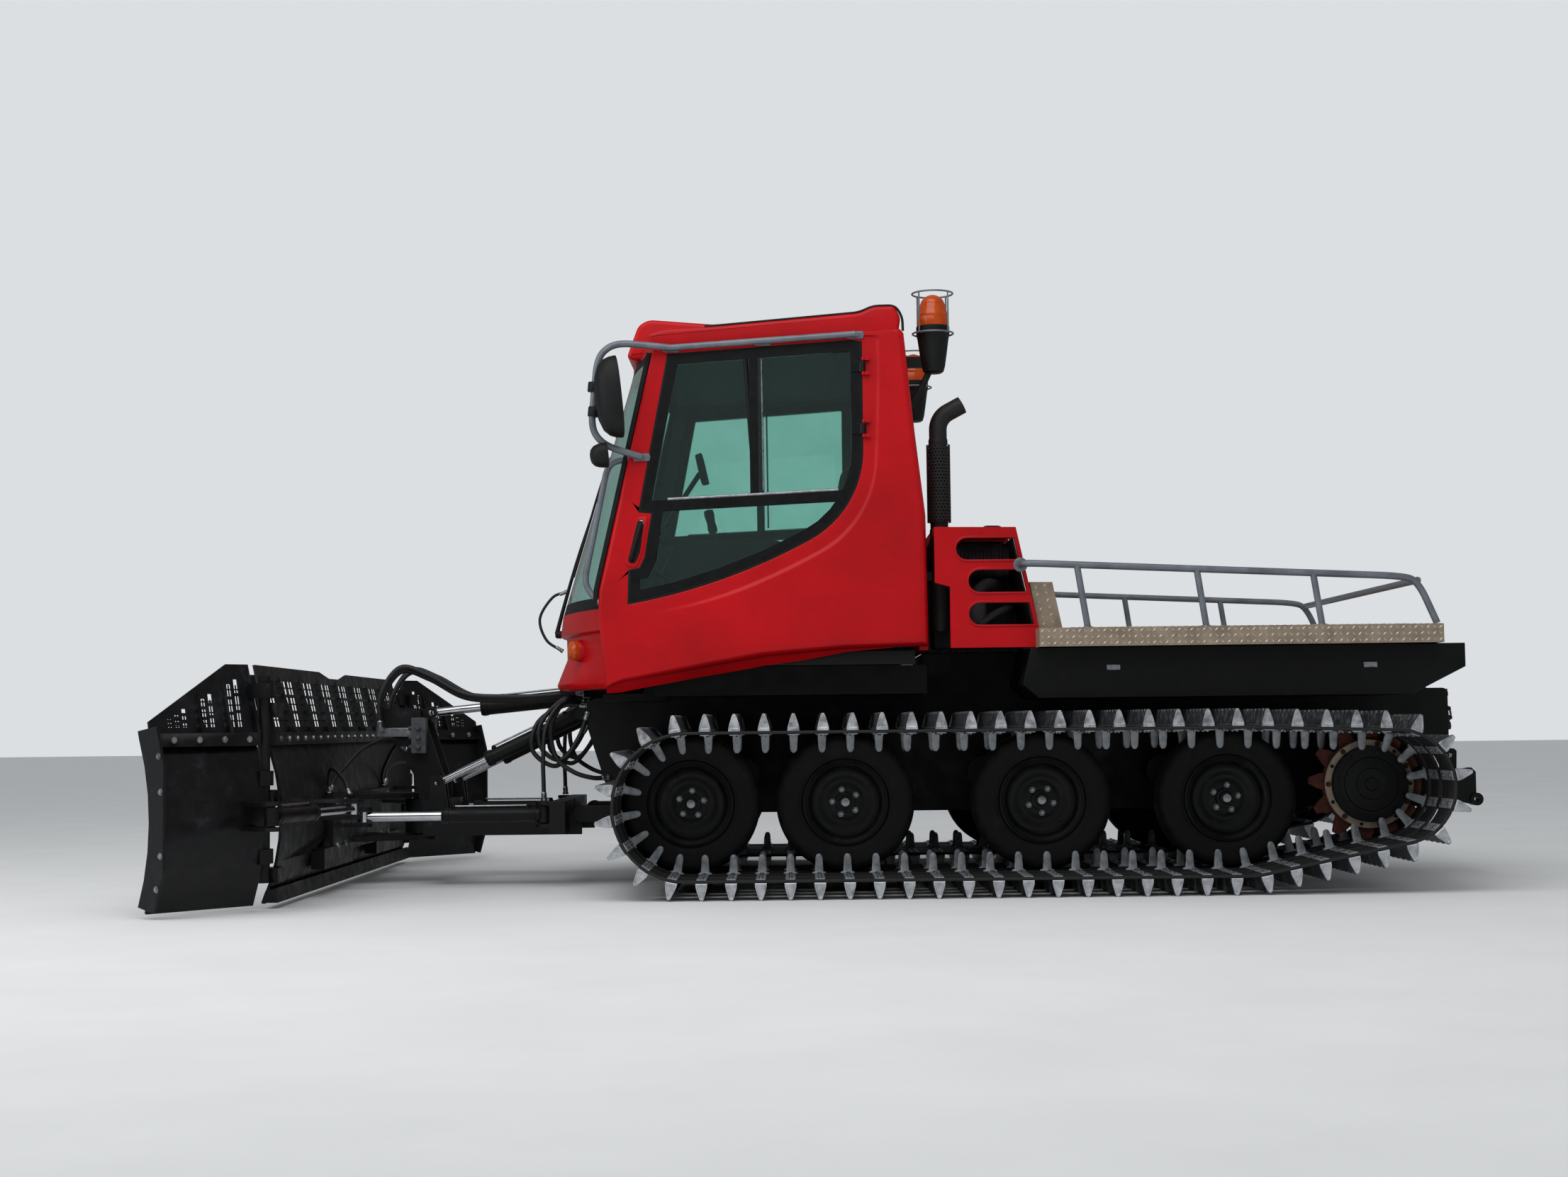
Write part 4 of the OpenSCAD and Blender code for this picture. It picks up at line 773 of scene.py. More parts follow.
# %% Tyres
def tyre(centre, count=96, groove_every=4, groove=0.006):
    """Section (radius, place) turned about the axle in equal steps. Shoulder rings lose 6 mm of radius on
    every fourth step, which makes the tread's blocks."""
    r_out, w = tyre_r, tyre_w / 2
    side = [(0.171, 0.064), (0.189, 0.066), (0.196, 0.078), (0.204, 0.080), (0.212, 0.0855),
            (0.216, 0.0855), (0.240, 0.0885), (0.262, w), (0.270, w - 0.001), (0.276, w - 0.002),
            (0.290, w - 0.009), (0.297, w - 0.016), (r_out - 0.001, w - 0.030), (r_out, w - 0.042),
            (r_out, 0.034), (r_out - 0.007, 0.031), (r_out - 0.007, 0.024), (r_out, 0.021), (r_out, 0.004),
            (r_out - 0.007, 0.003)]
    profile = np.array(side + [(r, -y) for r, y in side[::-1]])
    a = turn_steps(count)
    r = np.repeat(profile[:, :1], count, 1)
    block_ring = (profile[:, 0] > 0.288) & (np.abs(profile[:, 1]) > 0.05)
    cut = (np.arange(count) % groove_every == 0)[None, :] & block_ring[:, None]
    r = r - cut * groove
    y = np.repeat(tyre_y + profile[:, 1:], count, 1)
    rings = np.stack([centre[0] + r * np.cos(a), y, centre[1] + r * np.sin(a)], -1)
    return loft(rings[::-1], caps=False, loop=True)


pair("road_tyres", [tyre(c) for c in axles], tyre_rubber, replaces=["tyres"], crease=40)


# %% Rims
def rim(centre):
    """Pressed rim and disc in one section: flange, bead seat, drop, dish with a raised ring, hub."""
    profile = np.array([
        (0, -30), (58, -30), (66, -4), (140, 4), (152, -20), (158, -66), (180, -72), (187, -66), (181, -62),
        (171, -60), (168, -30), (156, 0), (168, 30), (170, 62), (181, 63), (187, 68), (186, 75), (180, 77),
        (176, 72), (168, 68), (160, 62), (154, 44), (150, 34), (143, 30), (132, 33), (118, 30), (104, 20),
        (92, 16), (80, 20), (68, 26), (60, 27), (44, 27), (42, 44), (30, 46), (28, 60), (22, 63),
        (0, 63)]) * mm
    return spun(profile, (centre[0], tyre_y, centre[1]), (0, 1, 0), 64)


def nut(centre, r=11, h=14):
    """Hexagonal nut with a bevelled crown on a round washer face."""
    a = np.arange(6) * pi / 3
    ring = np.stack([np.cos(a), np.zeros(6), np.sin(a)], 1)
    steps = ((1.25, 0), (1.25, 2), (1, 2), (1, h - 3), (0.75, h), (0.45, h), (0.45, h - 4))
    rings = [ring * r * k * mm + [0, y * mm, 0] for k, y in steps]
    return loft([q + centre for q in rings][::-1])


nuts, nut_circle = [], 0.057
for c in axles:
    for t in 0.5 * c[0] + np.arange(5) * 2 * pi / 5:
        at = (c[0] + nut_circle * math.cos(t), tyre_y + 0.026, c[1] + nut_circle * math.sin(t))
        nuts.append(nut(at))
pair("steel_rims", [rim(c) for c in axles], rim_black, replaces=["rims"], crease=40)
pair("wheel_nuts", nuts, worn_steel, crease=30)

# %% [markdown]
# ## Cab
# The cab's sides are moulded panels. Round the door the surface rises out of the opening in a soft fold, and
# its free edges are rolled over. Each side is one closed surface: a section that runs from the opening to the
# panel's edge and back inside, carried once round the door.

# %% Outlines of the side
cab_y, wall = 0.950, 0.050


def arc(centre, radius, a0, a1, count):
    """Points on a circle from angle a0 to a1 in degrees."""
    a = np.radians(np.linspace(a0, a1, count + 1))
    return np.asarray(centre) + radius * np.stack([np.cos(a), np.sin(a)], 1)


def spaced(line, count):
    """The open line resampled at count points, evenly in length, but with its own corners kept."""
    line = np.asarray(line, float)
    run = np.concatenate([[0], np.cumsum(np.linalg.norm(np.diff(line, axis=0), axis=1))])
    t = np.linspace(0, run[-1], count)
    t[np.round(run / run[-1] * (count - 1)).astype(int)] = run
    return np.stack([np.interp(t, run, line[:, k]) for k in range(line.shape[1])], 1)


# The door's rear edge is an arc that runs on into a much wider one along its lower edge
rear_centre, rear_r, low_r, meet_deg = np.array([0.456, 1.960]), 0.450, 2.700, 242
meet_way = np.array([math.cos(math.radians(meet_deg)), math.sin(math.radians(meet_deg))])
low_centre = rear_centre + rear_r * meet_way - low_r * meet_way
door_loop = np.concatenate([
    [(0.860, 2.390), (0.056, 2.443), (0.006, 2.436)], arc(rear_centre, rear_r, 180, meet_deg, 12),
    arc(low_centre, low_r, meet_deg, 260, 12)[1:],
    [(1.039, 1.425), (0.992, 1.434), (0.967, 1.484), (0.933, 1.688), (0.992, 1.694)]])
opening = grown(door_loop, 0.007)
# the opening's corners and the points of the panel's edge that they face
open_part = [opening[0:3], opening[2:15], opening[14:27], opening[26:32],
             np.concatenate([opening[31:], opening[:1]])]
edge_part = [np.array(p) for p in (
    [(0.935, 2.425), (-0.172, 2.500)],
    [(-0.172, 2.500), (-0.190, 2.480), (-0.236, 2.023), (-0.277, 1.661), (-0.283, 1.079)],
    [(-0.283, 1.079), (0.084, 1.069), (0.446, 1.038), (1.080, 0.932), (1.150, 0.905)],
    [(1.150, 0.905), (1.187, 1.244), (1.182, 1.342), (1.0877, 1.750)],
    [(1.0877, 1.750), (0.938, 2.398), (0.935, 2.425)])]
print("corners of the opening:", len(opening))


# %% Side panels
def side_panel(wide=0.18, roll_radius=26, rise=0.008):
    """Section at every step round the door. At a distance d from the opening the outside stands at the cab's
    half width plus a step of 8 mm between 62 and 84 mm, minus the roll of the free edge,
    r - sqrt(r^2 - (r - e)^2) at a distance e from it. Where the panel is narrow, both shrink with it, and
    above the door, under the roof, the edge is rolled by a fifth only."""
    counts = (60, 70, 90, 60, 50)
    a = np.concatenate([spaced(p, n)[:-1] for p, n in zip(open_part, counts)])
    b = np.concatenate([spaced(p, n)[:-1] for p, n in zip(edge_part, counts)])
    free = np.concatenate([np.full(n - 1, k) for k, n in zip((0.2, 1, 1, 1, 1), counts)])[:, None]
    free[59:79, 0] = np.linspace(0.2, 1, 20)
    width = np.linalg.norm(b - a, axis=1)[:, None]
    k = np.clip(width / wide, 0.25, 1)
    near = np.array([0, 1.5, 4, 8, 30, 58, 62, 66, 70, 73, 76, 80, 84, 88, 100]) * mm * k
    far = np.array([26, 20, 15, 10, 6, 3, 1, 0]) * mm * k
    middle = near[:, -1:] + (width - near[:, -1:] - far[:, :1]) * np.linspace(0, 1, 14)[None, 1:-1]
    d = np.concatenate([near, middle, width - far], 1)
    roll = roll_radius * mm * k
    e = np.minimum(width - d, roll)
    t = (d / width)[..., None]
    point = a[:, None] * (1 - t) + b[:, None] * t
    step_up = np.clip((d / k - 0.062) / 0.022, 0, 1)
    step_up = step_up**2 * (3 - 2 * step_up)
    fade = np.clip((0.98 - point[..., 0]) / 0.45, 0, 1) * k
    y = cab_y + rise * step_up * fade * e / roll
    y -= (roll - np.sqrt(np.maximum(roll**2 - (roll - e) ** 2, 0))) * free
    y[:, :4] -= [0.005, 0.002, 0.0005, 0]
    outside = np.stack([point[..., 0], y, point[..., 1]], -1)
    back = np.stack([outside[:, -1], outside[:, 0]], 1)
    back[..., 1] = cab_y - wall
    return loft(np.concatenate([outside, back], 1), loop=True)


def lined(made, depth):
    """Gives the faces that lie further in than depth from the middle plane the cab's lining."""
    mesh = made.data
    mesh.materials.append(lining)
    centre = np.empty(len(mesh.polygons) * 3)
    mesh.polygons.foreach_get("center", centre)
    inside = np.abs(centre.reshape(-1, 3)[:, 1]) < depth
    mesh.polygons.foreach_set("material_index", inside.astype(np.int32))


panel, lining_within = side_panel(), 0.93
for side, place in each_side:
    made = piece("side_panel_" + side, place(panel), lacquer, replaces=["cab_side_" + side], crease=60)
    lined(made, lining_within)

# %% Lower flange of the side panels
hem = np.array([(-0.120, 1.0745), (0.084, 1.069), (0.446, 1.038), (0.760, 0.990), (1.080, 0.932),
                (1.150, 0.905)])
hem_x = np.linspace(-0.120, 1.150, 60)
hem_z = np.interp(hem_x, hem[:, 0], hem[:, 1])
drop_x = [-0.120, -0.09, 0.062, 0.290, 0.518, 0.824, 1.090, 1.150]
drop_by = np.interp(hem_x, drop_x, [0.002, 0.003, 0.011, 0.033, 0.040, 0.043, 0.041, 0.020])


def hem_flange():
    """The pressed lip under the panel: from its rolled edge it leans inwards by 0.7 of its own drop, and is
    about 4 mm thick."""
    rings = []
    for lean, inward, up in ((0, 0.018, 0.010), (0, 0.022, 0.001), (1, 0.022, 0), (1, 0.026, 0.001),
                             (0, 0.027, 0.001), (0, 0.024, 0.010)):
        y = cab_y - inward - 0.7 * lean * drop_by
        rings.append(np.stack([hem_x, y, hem_z + up - lean * drop_by], 1))
    return loft(np.array(rings).transpose(1, 0, 2)[::-1])


pair("cab_hem_flanges", [hem_flange()], lacquer, crease=50)
beam_line = [(0.900, 0.850), (1.200, 0.850), (1.200, 0.891), (1.012, 0.891), (1.012, 0.925), (0.900, 0.925)]
beams = [slab(beam_line, y, y + 0.060) for y in (0.500, -0.560)]
piece("cab_mount_beams", together(*beams), frame_black, crease=20, edge=0.004)

# %% Roof, visor and brow
roof_loop = soft_loop([
    (0.935, 2.4253), (0.960, 2.490), (0.880, 2.512), (0.644, 2.523), (0.006, 2.575), (-0.054, 2.603),
    (-0.151, 2.605), (-0.1787, 2.5513), (-0.165, 2.470)], 0.022)
visor_loop = soft_loop([
    (0.640, 2.500), (0.655, 2.590), (0.971, 2.617), (1.020, 2.590), (1.075, 2.440), (1.040, 2.425),
    (0.900, 2.430)], 0.025)
v = np.linspace(-1, 1, 41)
brow_loop = np.concatenate([
    np.stack([0.926 + 0.149 * (1 - v**2) + 0.003, v * 0.900], 1), [(0.900, 0.900), (0.900, -0.900)]])


def brow():
    """The lip over the windscreen: its outline in plan, drawn in by a few millimetres under and over."""
    rings = [np.column_stack([grown(brow_loop, -d), np.full(len(brow_loop), z)])
             for z, d in ((2.4250, 0.004), (2.4290, 0), (2.4640, 0), (2.4685, 0.005))]
    return loft(rings)


roof = together(moulding(roof_loop, cab_y, 0.018), moulding(visor_loop, 0.620, 0.020), brow())
piece("roof_shell", roof, lacquer, replaces=["cab_roof"], crease=45)
seam = rounded([(-0.187, cab_y - 0.002, 2.490), (-0.1865, cab_y - 0.010, 2.553), (-0.155, 0.935, 2.607),
                (-0.054, 0.935, 2.6055), (0.006, 0.935, 2.5775), (0.644, 0.935, 2.5255),
                (0.700, 0.935, 2.5230)], 0.03)
pair("roof_seam", [piped(seam, 0.006, 8)], trim_black, crease=60)

# %% Windscreen
def screen(v0, v1, t0, t1, out, thick, columns=48):
    """Part of the bowed windscreen, between places v across (from -1 to 1) and t up (from 0 to 1). Its front
    is x = side + (middle - side)(1 - v^2), with both ends of that on straight lines from foot to top."""
    low, high = np.array((1.2623, 1.176, 1.426)), np.array((2.4247, 0.926, 1.075))
    t = np.linspace(t0, t1, 3)[None, :]
    v = np.linspace(v0, v1, columns)[:, None]
    z, side_x, mid_x = (low[k] + (high[k] - low[k]) * t for k in range(3))
    x = side_x + (mid_x - side_x) * (1 - v**2) + out
    front = np.stack([x, np.broadcast_to(0.9 * v, x.shape), np.broadcast_to(z, x.shape)], -1)
    return loft(np.concatenate([front, (front - [thick, 0, 0])[:, ::-1]], 1)[::-1])


piece("windscreen_pane", screen(-1, 1, 0, 1, 0, 0.006), window, replaces=["windscreen"], crease=30)
frit = together(screen(0.945, 1, 0, 1, 0.0008, 0.0006, 4), screen(-1, -0.945, 0, 1, 0.0008, 0.0006, 4),
                screen(-0.945, 0.945, 0, 0.045, 0.0008, 0.0006),
                screen(-0.945, 0.945, 0.965, 1, 0.0008, 0.0006))
piece("windscreen_frit", frit, trim_black, crease=30)

# %% Nose
nose_rows = np.array([
    (0.9050, 1.128, 1.4280), (0.9070, 1.138, 1.4380), (0.9140, 1.146, 1.4500), (0.9250, 1.150, 1.4570),
    (0.9365, 1.152, 1.4590), (0.9900, 1.151, 1.4372), (1.0480, 1.150, 1.4125), (1.0560, 1.150, 1.4090),
    (1.1500, 1.157, 1.4110), (1.1570, 1.160, 1.4160), (1.1620, 1.176, 1.4320), (1.1660, 1.180, 1.4385),
    (1.1720, 1.182, 1.4390), (1.2615, 1.178, 1.4280)])


def nose_part(y0, y1, low=0.0, columns=48):
    """Part of the nose from y0 to y1, 45 mm thick. Each row of nose_rows is a height, the place at the sides
    and the place in the middle, and the row's plan is x = side + (middle - side)(1 - (y / 0.9)^2)."""
    z, side, middle = nose_rows[nose_rows[:, 0] >= low].T
    y = np.linspace(y0, y1, columns)[:, None]
    x = side + (middle - side) * (1 - (y / 0.9) ** 2)
    outside = np.stack([x, np.broadcast_to(y, x.shape), np.broadcast_to(z, x.shape)], -1)
    return loft(np.concatenate([outside, (outside - [0.045, 0, 0])[:, ::-1]], 1)[::-1])


nose = together(nose_part(0.070, 0.8995), nose_part(-0.8995, -0.070), nose_part(-0.070, 0.070, 0.990, 9))
piece("nose_shell", nose, lacquer, replaces=["cab_nose"], crease=22)
edge_line = np.array([(1.187, 1.262), (1.183, 1.342), (1.0888, 1.750), (0.939, 2.405)])
strip = slab(np.concatenate([edge_line, (edge_line + [0.0215, 0.004])[::-1]]), 0.902, 0.936)
pair("windscreen_edge_rubbers", [strip], trim_black, crease=30, edge=0.003)

# %% [markdown]
# ## Inside the cab
# Through the doors you see a dark cab: a lined roof and back wall, two bucket seats, and a dashboard with
# its wheel. The seats are foam under cloth, so a cloth simulation with a little pressure inside puffs them.

# %% Lining, consoles and instruments
lin = [slab([(0.900, 2.4195), (0.900, 2.4240), (-0.150, 2.4665), (-0.150, 2.4620)], -0.890, 0.890)]
wall_line = [(-0.2365, 1.110), (-0.2325, 1.661), (-0.1915, 2.023), (-0.1430, 2.480)]
for y0, y1, z0, z1 in ((-0.89, -0.56, 1.11, 2.48), (0.56, 0.89, 1.11, 2.48), (-0.56, 0.56, 1.11, 1.78),
                       (-0.56, 0.56, 2.35, 2.48)):
    z = np.array([z0] + [q[1] for q in wall_line[1:-1] if z0 < q[1] < z1] + [z1])
    x = np.interp(z, [q[1] for q in wall_line], [q[0] for q in wall_line])
    lin.append(slab(np.concatenate([np.stack([x, z], 1), np.stack([x + 0.004, z], 1)[::-1]]), y0, y1))
piece("cab_lining", together(*lin), lining, crease=20)
console = soft_loop([(0.040, 1.100), (0.930, 1.100), (0.960, 1.450), (0.905, 1.600), (0.800, 1.640),
                     (0.380, 1.630), (0.290, 1.560), (0.060, 1.500)], 0.04)
stick = [(0.690, 0, 1.632), (0.696, 0, 1.665), (0.704, 0, 1.690)]
grip = turned([(0, 0), (20, 0), (24, 20), (20, 50), (25, 90), (22, 112), (0, 118)], (0.702, 0, 1.675),
              (0.22, 0, 1), 24)
console_parts = [moulding(console, 0.100, 0.012), piped(curve_through(stick, 12), 0.008), grip]
piece("middle_console", together(*console_parts), trim_black, crease=40)
binnacle = soft_loop([(1.020, 1.322), (1.150, 1.312), (1.185, 1.395), (1.120, 1.440), (1.070, 1.425)], 0.03)
piece("instrument_hood", moved(moulding(binnacle, 0.230, 0.015), (0, 0.330, 0)), trim_black, crease=40)

# %% [markdown]
# ## Softened panels
# A solid's mesh is loose triangles with sharp edges. Sheet and moulded panels have a small radius on every
# edge, and that thin highlight is most of what makes them look real. A copy of the solid is merged, its flat
# triangles are joined, and a bevel rounds it.

# %% Softened copies of solids
def softened(node, name, material, edge, segments=3, angle=25):
    """A copy of a solid with merged points, joined flat faces and rounded edges, which stands for it."""
    mesh = nodes[node].data.copy()
    work = bmesh.new()
    work.from_mesh(mesh)
    bmesh.ops.remove_doubles(work, verts=work.verts, dist=2e-5)
    bmesh.ops.dissolve_limit(work, angle_limit=math.radians(1.0), verts=work.verts, edges=work.edges)
    work.to_mesh(mesh)
    work.free()
    mesh.name = name
    mesh.materials.clear()
    mesh.materials.append(material)
    made = shown(name, mesh, angle)
    bevelled(made, edge, segments, angle).harden_normals = True
    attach(made, nodes[node]["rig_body"])
    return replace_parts(made, node)


softened("engine_covers", "engine_cover_shells", lacquer, 0.009)
softened("hood_lid", "hood_lid_shell", lacquer, 0.007)
softened("door_left", "door_frame_left", door_black, 0.003, 2)
softened("door_right", "door_frame_right", door_black, 0.003, 2)
for node in ("push_frame", "blade", "wing_left", "wing_right", "rear_lift"):
    softened(node, node + "_weldment", blade_black if node != "rear_lift" else frame_black, 0.0025, 2)

# %% [markdown]
# ## Fittings outside the cab
# Mirrors on their long tubes, beacons in wire cages, the wiper, door handles and seals. Tubes are bent, so
# every corner of their line gets a radius before the tube is drawn along it.

# %% Mirror tubes
def oval(centre, facing, profile, wide, tall, count=40, power=2.6):
    """Stacked ovals along a direction. profile holds (scale, distance) pairs; an oval is the superellipse
    |x/wide|^2.6 + |z/tall|^2.6 = 1, with its flat way across the direction."""
    facing = np.asarray(facing, float) / np.linalg.norm(facing)
    side = np.cross([0, 0, 1], facing)
    side /= np.linalg.norm(side)
    up = np.cross(facing, side)
    a = turn_steps(count)
    c, s = np.cos(a), np.sin(a)
    x = wide * np.sign(c) * np.abs(c) ** (2 / power)
    z = tall * np.sign(s) * np.abs(s) ** (2 / power)
    scale, along = np.asarray(profile, float).T
    flat = x[:, None] * side + z[:, None] * up
    return loft(np.asarray(centre) + scale[:, None, None] * flat + along[:, None, None] * facing)


grab = cab_y + 0.030
arm = np.array([(0.850, grab, 2.420), (1.095, cab_y + 0.060, 2.441), (1.173, cab_y + 0.070, 2.379),
                (1.204, cab_y + 0.070, 2.054), (1.145, cab_y + 0.060, 1.979), (0.985, cab_y + 0.020, 1.933)])
tube_shapes = [piped(rounded(arm, 0.075), 0.0155, 14)]
tube_shapes.append(piped(rounded([(0.852, grab, 2.4201), (0.027, grab, 2.472)], 0.02), 0.0145, 14))
for x, z in ((0.850, 2.420), (0.985, 1.933), (0.027, 2.472), (0.440, 2.4455)):
    reach_y = grab if z > 2 else cab_y + 0.022
    tube_shapes.append(piped([(x, cab_y + 0.001, z), (x, 0.5 * (cab_y + reach_y), z), (x, reach_y, z)], 0.013,
                             12))
    flange = [(x - 0.034, z - 0.017), (x + 0.034, z - 0.017), (x + 0.040, z),
              (x + 0.034, z + 0.017), (x - 0.034, z + 0.017), (x - 0.040, z)]
    tube_shapes.append(moved(moulding(flange, 0.0025, 0.0008, 2), (0, cab_y + 0.0055, 0)))
pair("mirror_tubes", tube_shapes, rail_paint, replaces=["mirrors"], crease=45)
grab_line = [(1.036, 0.915, 1.934), (1.138, 0.915, 1.914), (1.250, 0.915, 1.368), (1.178, 0.915, 1.286)]
pad = [(0, -0.004), (0.022, -0.004), (0.022, 0.002), (0, 0.002)]
pads = [spun(pad, (x + 0.004, 0.915, z), (1, 0, 0), 20) for x, z in ((1.043, 1.933), (1.182, 1.290))]
pair("windscreen_grab_rails", [piped(rounded(grab_line, 0.06), 0.0138, 16), *pads], rail_paint, crease=45)

# %% Mirror heads
look = np.array((-0.96, -0.20, 0.10))
head_c = np.array((1.085, cab_y + 0.115, 2.190))
shell_profile = [(0, 0.004), (0.90, 0.004), (0.93, -0.004), (1.0, -0.004), (1.0, 0.010), (0.985, -0.020),
                 (0.93, -0.045), (0.80, -0.070), (0.55, -0.088), (0.25, -0.095), (0, -0.097)]
glass_profile = [(0, 0.0052), (0.88, 0.0052), (0.885, 0.0035), (0, 0.0035)]
head = oval(head_c, look, shell_profile[::-1], 0.095, 0.182)
low_c, flatter = np.array((1.140, cab_y + 0.085, 1.935)), np.array((1, 0.7))
low_head = oval(low_c, look, np.array(shell_profile[::-1]) * flatter, 0.062, 0.055)
clamp = [(0, -22), (24, -22), (26, -18), (26, 18), (24, 22), (0, 22)]
clamps = [turned(clamp, (1.191, cab_y + 0.070, z), (0.095, 0, -1), 20) for z in (2.240, 2.130)]
links = [piped([(1.191, cab_y + 0.070, 2.240), (1.175, cab_y + 0.085, 2.225), (1.160, cab_y + 0.100, 2.215)],
               0.012, 10),
         piped([(1.196, cab_y + 0.070, 2.130), (1.178, cab_y + 0.085, 2.145), (1.160, cab_y + 0.100, 2.160)],
               0.012, 10),
         piped([(1.150, cab_y + 0.061, 1.985), (1.156, cab_y + 0.070, 1.962), (1.165, cab_y + 0.080, 1.945)],
               0.009, 10)]
pair("mirror_heads", [head, low_head, *clamps, *links], trim_black, crease=40)
glasses = [oval(head_c, look, glass_profile[::-1], 0.095, 0.182),
           oval(low_c, look, np.array(glass_profile[::-1]) * flatter, 0.062, 0.055)]
pair("mirror_glasses", glasses, mirror_glass, crease=40)

# %% Beacons
beacon = np.array((-0.331, 0.800, 0.0))
base = spun([(0, 2.319), (0.035, 2.319), (0.046, 2.326), (0.053, 2.350), (0.062, 2.410), (0.070, 2.470),
             (0.073, 2.486), (0.0755, 2.490), (0.0755, 2.530), (0.070, 2.534), (0, 2.534)],
            beacon, (0, 0, 1), 48)
lens = spun([(0, 2.530), (0.0715, 2.530), (0.072, 2.545), (0.0705, 2.570), (0.0685, 2.582), (0.0700, 2.584),
             (0.066, 2.597), (0.062, 2.615), (0.057, 2.633), (0.050, 2.650), (0.040, 2.663), (0.026, 2.672),
             (0.012, 2.677), (0, 2.678)], beacon, (0, 0, 1), 48)
core = spun([(0, 2.530), (0.030, 2.530), (0.030, 2.575), (0.022, 2.600), (0, 2.604)], beacon, (0, 0, 1), 24)
cage_r, cage_top, cage_foot = 0.092, 2.683, 2.500
wires = [hoop(beacon + [0, 0, z], cage_r, 0.0042) for z in (cage_top, cage_foot)]
for a in (np.arange(4) + 0.5) * pi / 2:
    way = np.array([math.cos(a), math.sin(a), 0])
    wires.append(piped([beacon + way * cage_r + [0, 0, z] for z in (cage_top, 2.592, cage_foot)], 0.0038, 8))
    wires.append(piped([beacon + way * r + [0, 0, cage_foot] for r in (cage_r, 0.083, 0.072)], 0.0038, 8))
strut = slab([(-0.300, 2.345), (-0.2025, 2.345), (-0.1965, 2.395), (-0.300, 2.395)], 0.788, 0.812)
stay = piped(rounded([(-0.315, 0.800, 2.335), (-0.280, 0.800, 2.260), (-0.222, 0.800, 2.170)], 0.03), 0.015,
             14)
pair("beacon_bases", [base, strut, stay], trim_black, replaces=["beacons"], crease=35)
pair("beacon_cores", [core], chrome, crease=40)
pair("beacon_lenses", [lens], amber, crease=50)
pair("beacon_cages", wires, rail_paint, crease=60)

# %% Lamps
def round_lamp(centre, facing, r, depth):
    """Housing ring and domed lens, turned about the direction that the lamp faces."""
    ring = [(0, -depth), (r * 0.96, -depth), (r, -depth * 0.8), (r, 0.004), (r * 0.97, 0.007),
            (r * 0.90, 0.007), (r * 0.88, 0.002), (0, 0.002)]
    dome = [(0, 0.0022), (r * 0.87, 0.0022), (r * 0.80, 0.008), (r * 0.55, 0.012), (r * 0.25, 0.0138),
            (0, 0.0142)]
    return spun(ring, centre, facing, 40), spun(dome, centre, facing, 40)


work_tilt, side_turn = math.radians(70), math.radians(23.5)
work_at, work_to = np.array((1.043, 0.400, 2.520)), np.array((math.sin(work_tilt), 0, math.cos(work_tilt)))
work_ring, work_dome = round_lamp(work_at + work_to * 0.003, work_to, 0.0575, 0.028)
side_at, side_to = (1.3266, 0.6263, 1.085), (math.cos(side_turn), math.sin(side_turn), 0)
side_dome = spun([(0, 0), (0.0450, 0), (0.0445, 0.006), (0.0390, 0.014), (0.0270, 0.020), (0.0130, 0.0225),
                  (0, 0.023)], side_at, side_to, 40)
pair("side_lamp_lenses", [side_dome], amber, crease=50)
socket = spun([(0, -0.085), (0.0490, -0.085), (0.0500, -0.018), (0.0470, -0.014), (0, -0.014)],
              side_at, side_to, 40)
pair("side_lamp_sockets", [socket], lacquer, crease=40)
pair("work_lamp_rims", [work_ring], trim_black, crease=35)
pair("work_lamp_lenses", [work_dome], clear_lens, crease=50)

# %% Wiper, door handles and seals
arm_line = [(1.478, -0.080, 1.192), (1.440, -0.074, 1.330), (1.372, -0.068, 1.560), (1.300, -0.062, 1.775)]
blade_line = [(1.392, -0.064, 1.470), (1.340, -0.060, 1.640), (1.262, -0.058, 1.900), (1.205, -0.058, 2.060)]
wiper_parts = [piped(curve_through(arm_line, 24), np.linspace(0.011, 0.006, 24), 10),
               piped(curve_through(blade_line, 16), 0.006, 8),
               turned([(0, -16), (17, -16), (19, -8), (19, 12), (13, 18), (0, 18)],
                      (1.466, -0.080, 1.190), (1, 0, 0.05), 24)]
piece("wiper_arm", together(*wiper_parts), trim_black, replaces=["wiper"], crease=40)


def ribbon(loop, y, wide, thick):
    """A flat strip round a closed outline: a rounded section of the given width and thickness at y."""
    outer, inner = grown(loop, wide / 2), grown(loop, -wide / 2)
    rows = ((inner, -thick), (inner, 0.7 * thick), (grown(loop, -0.25 * wide), thick),
            (grown(loop, 0.25 * wide), thick), (outer, 0.7 * thick), (outer, -thick))
    return loft([upright(p, y + h) for p, h in rows], caps=False, loop=True)


seal = ribbon(grown(door_loop, 0.0035), cab_y - 0.004, 0.012, 0.005)
pair("door_seals", [seal], trim_black, crease=50)
pull = soft_loop([(0.955, 1.668), (1.006, 1.668), (1.068, 1.452), (1.012, 1.436), (0.984, 1.500)], 0.022)
bowl = soft_loop([(0.975, 1.653), (1.004, 1.653), (1.050, 1.466), (1.018, 1.458), (0.995, 1.510)], 0.014)


def plate_on_side(loop, y, thick, edge):
    """A flat moulded plate standing on the side at y, with a rounded rim."""
    rows = ((grown(loop, -edge), thick), (grown(loop, -0.3 * edge), thick - 0.3 * edge), (loop, thick - edge),
            (loop, 0))
    return loft([upright(p, y + h)[::-1] for p, h in rows])


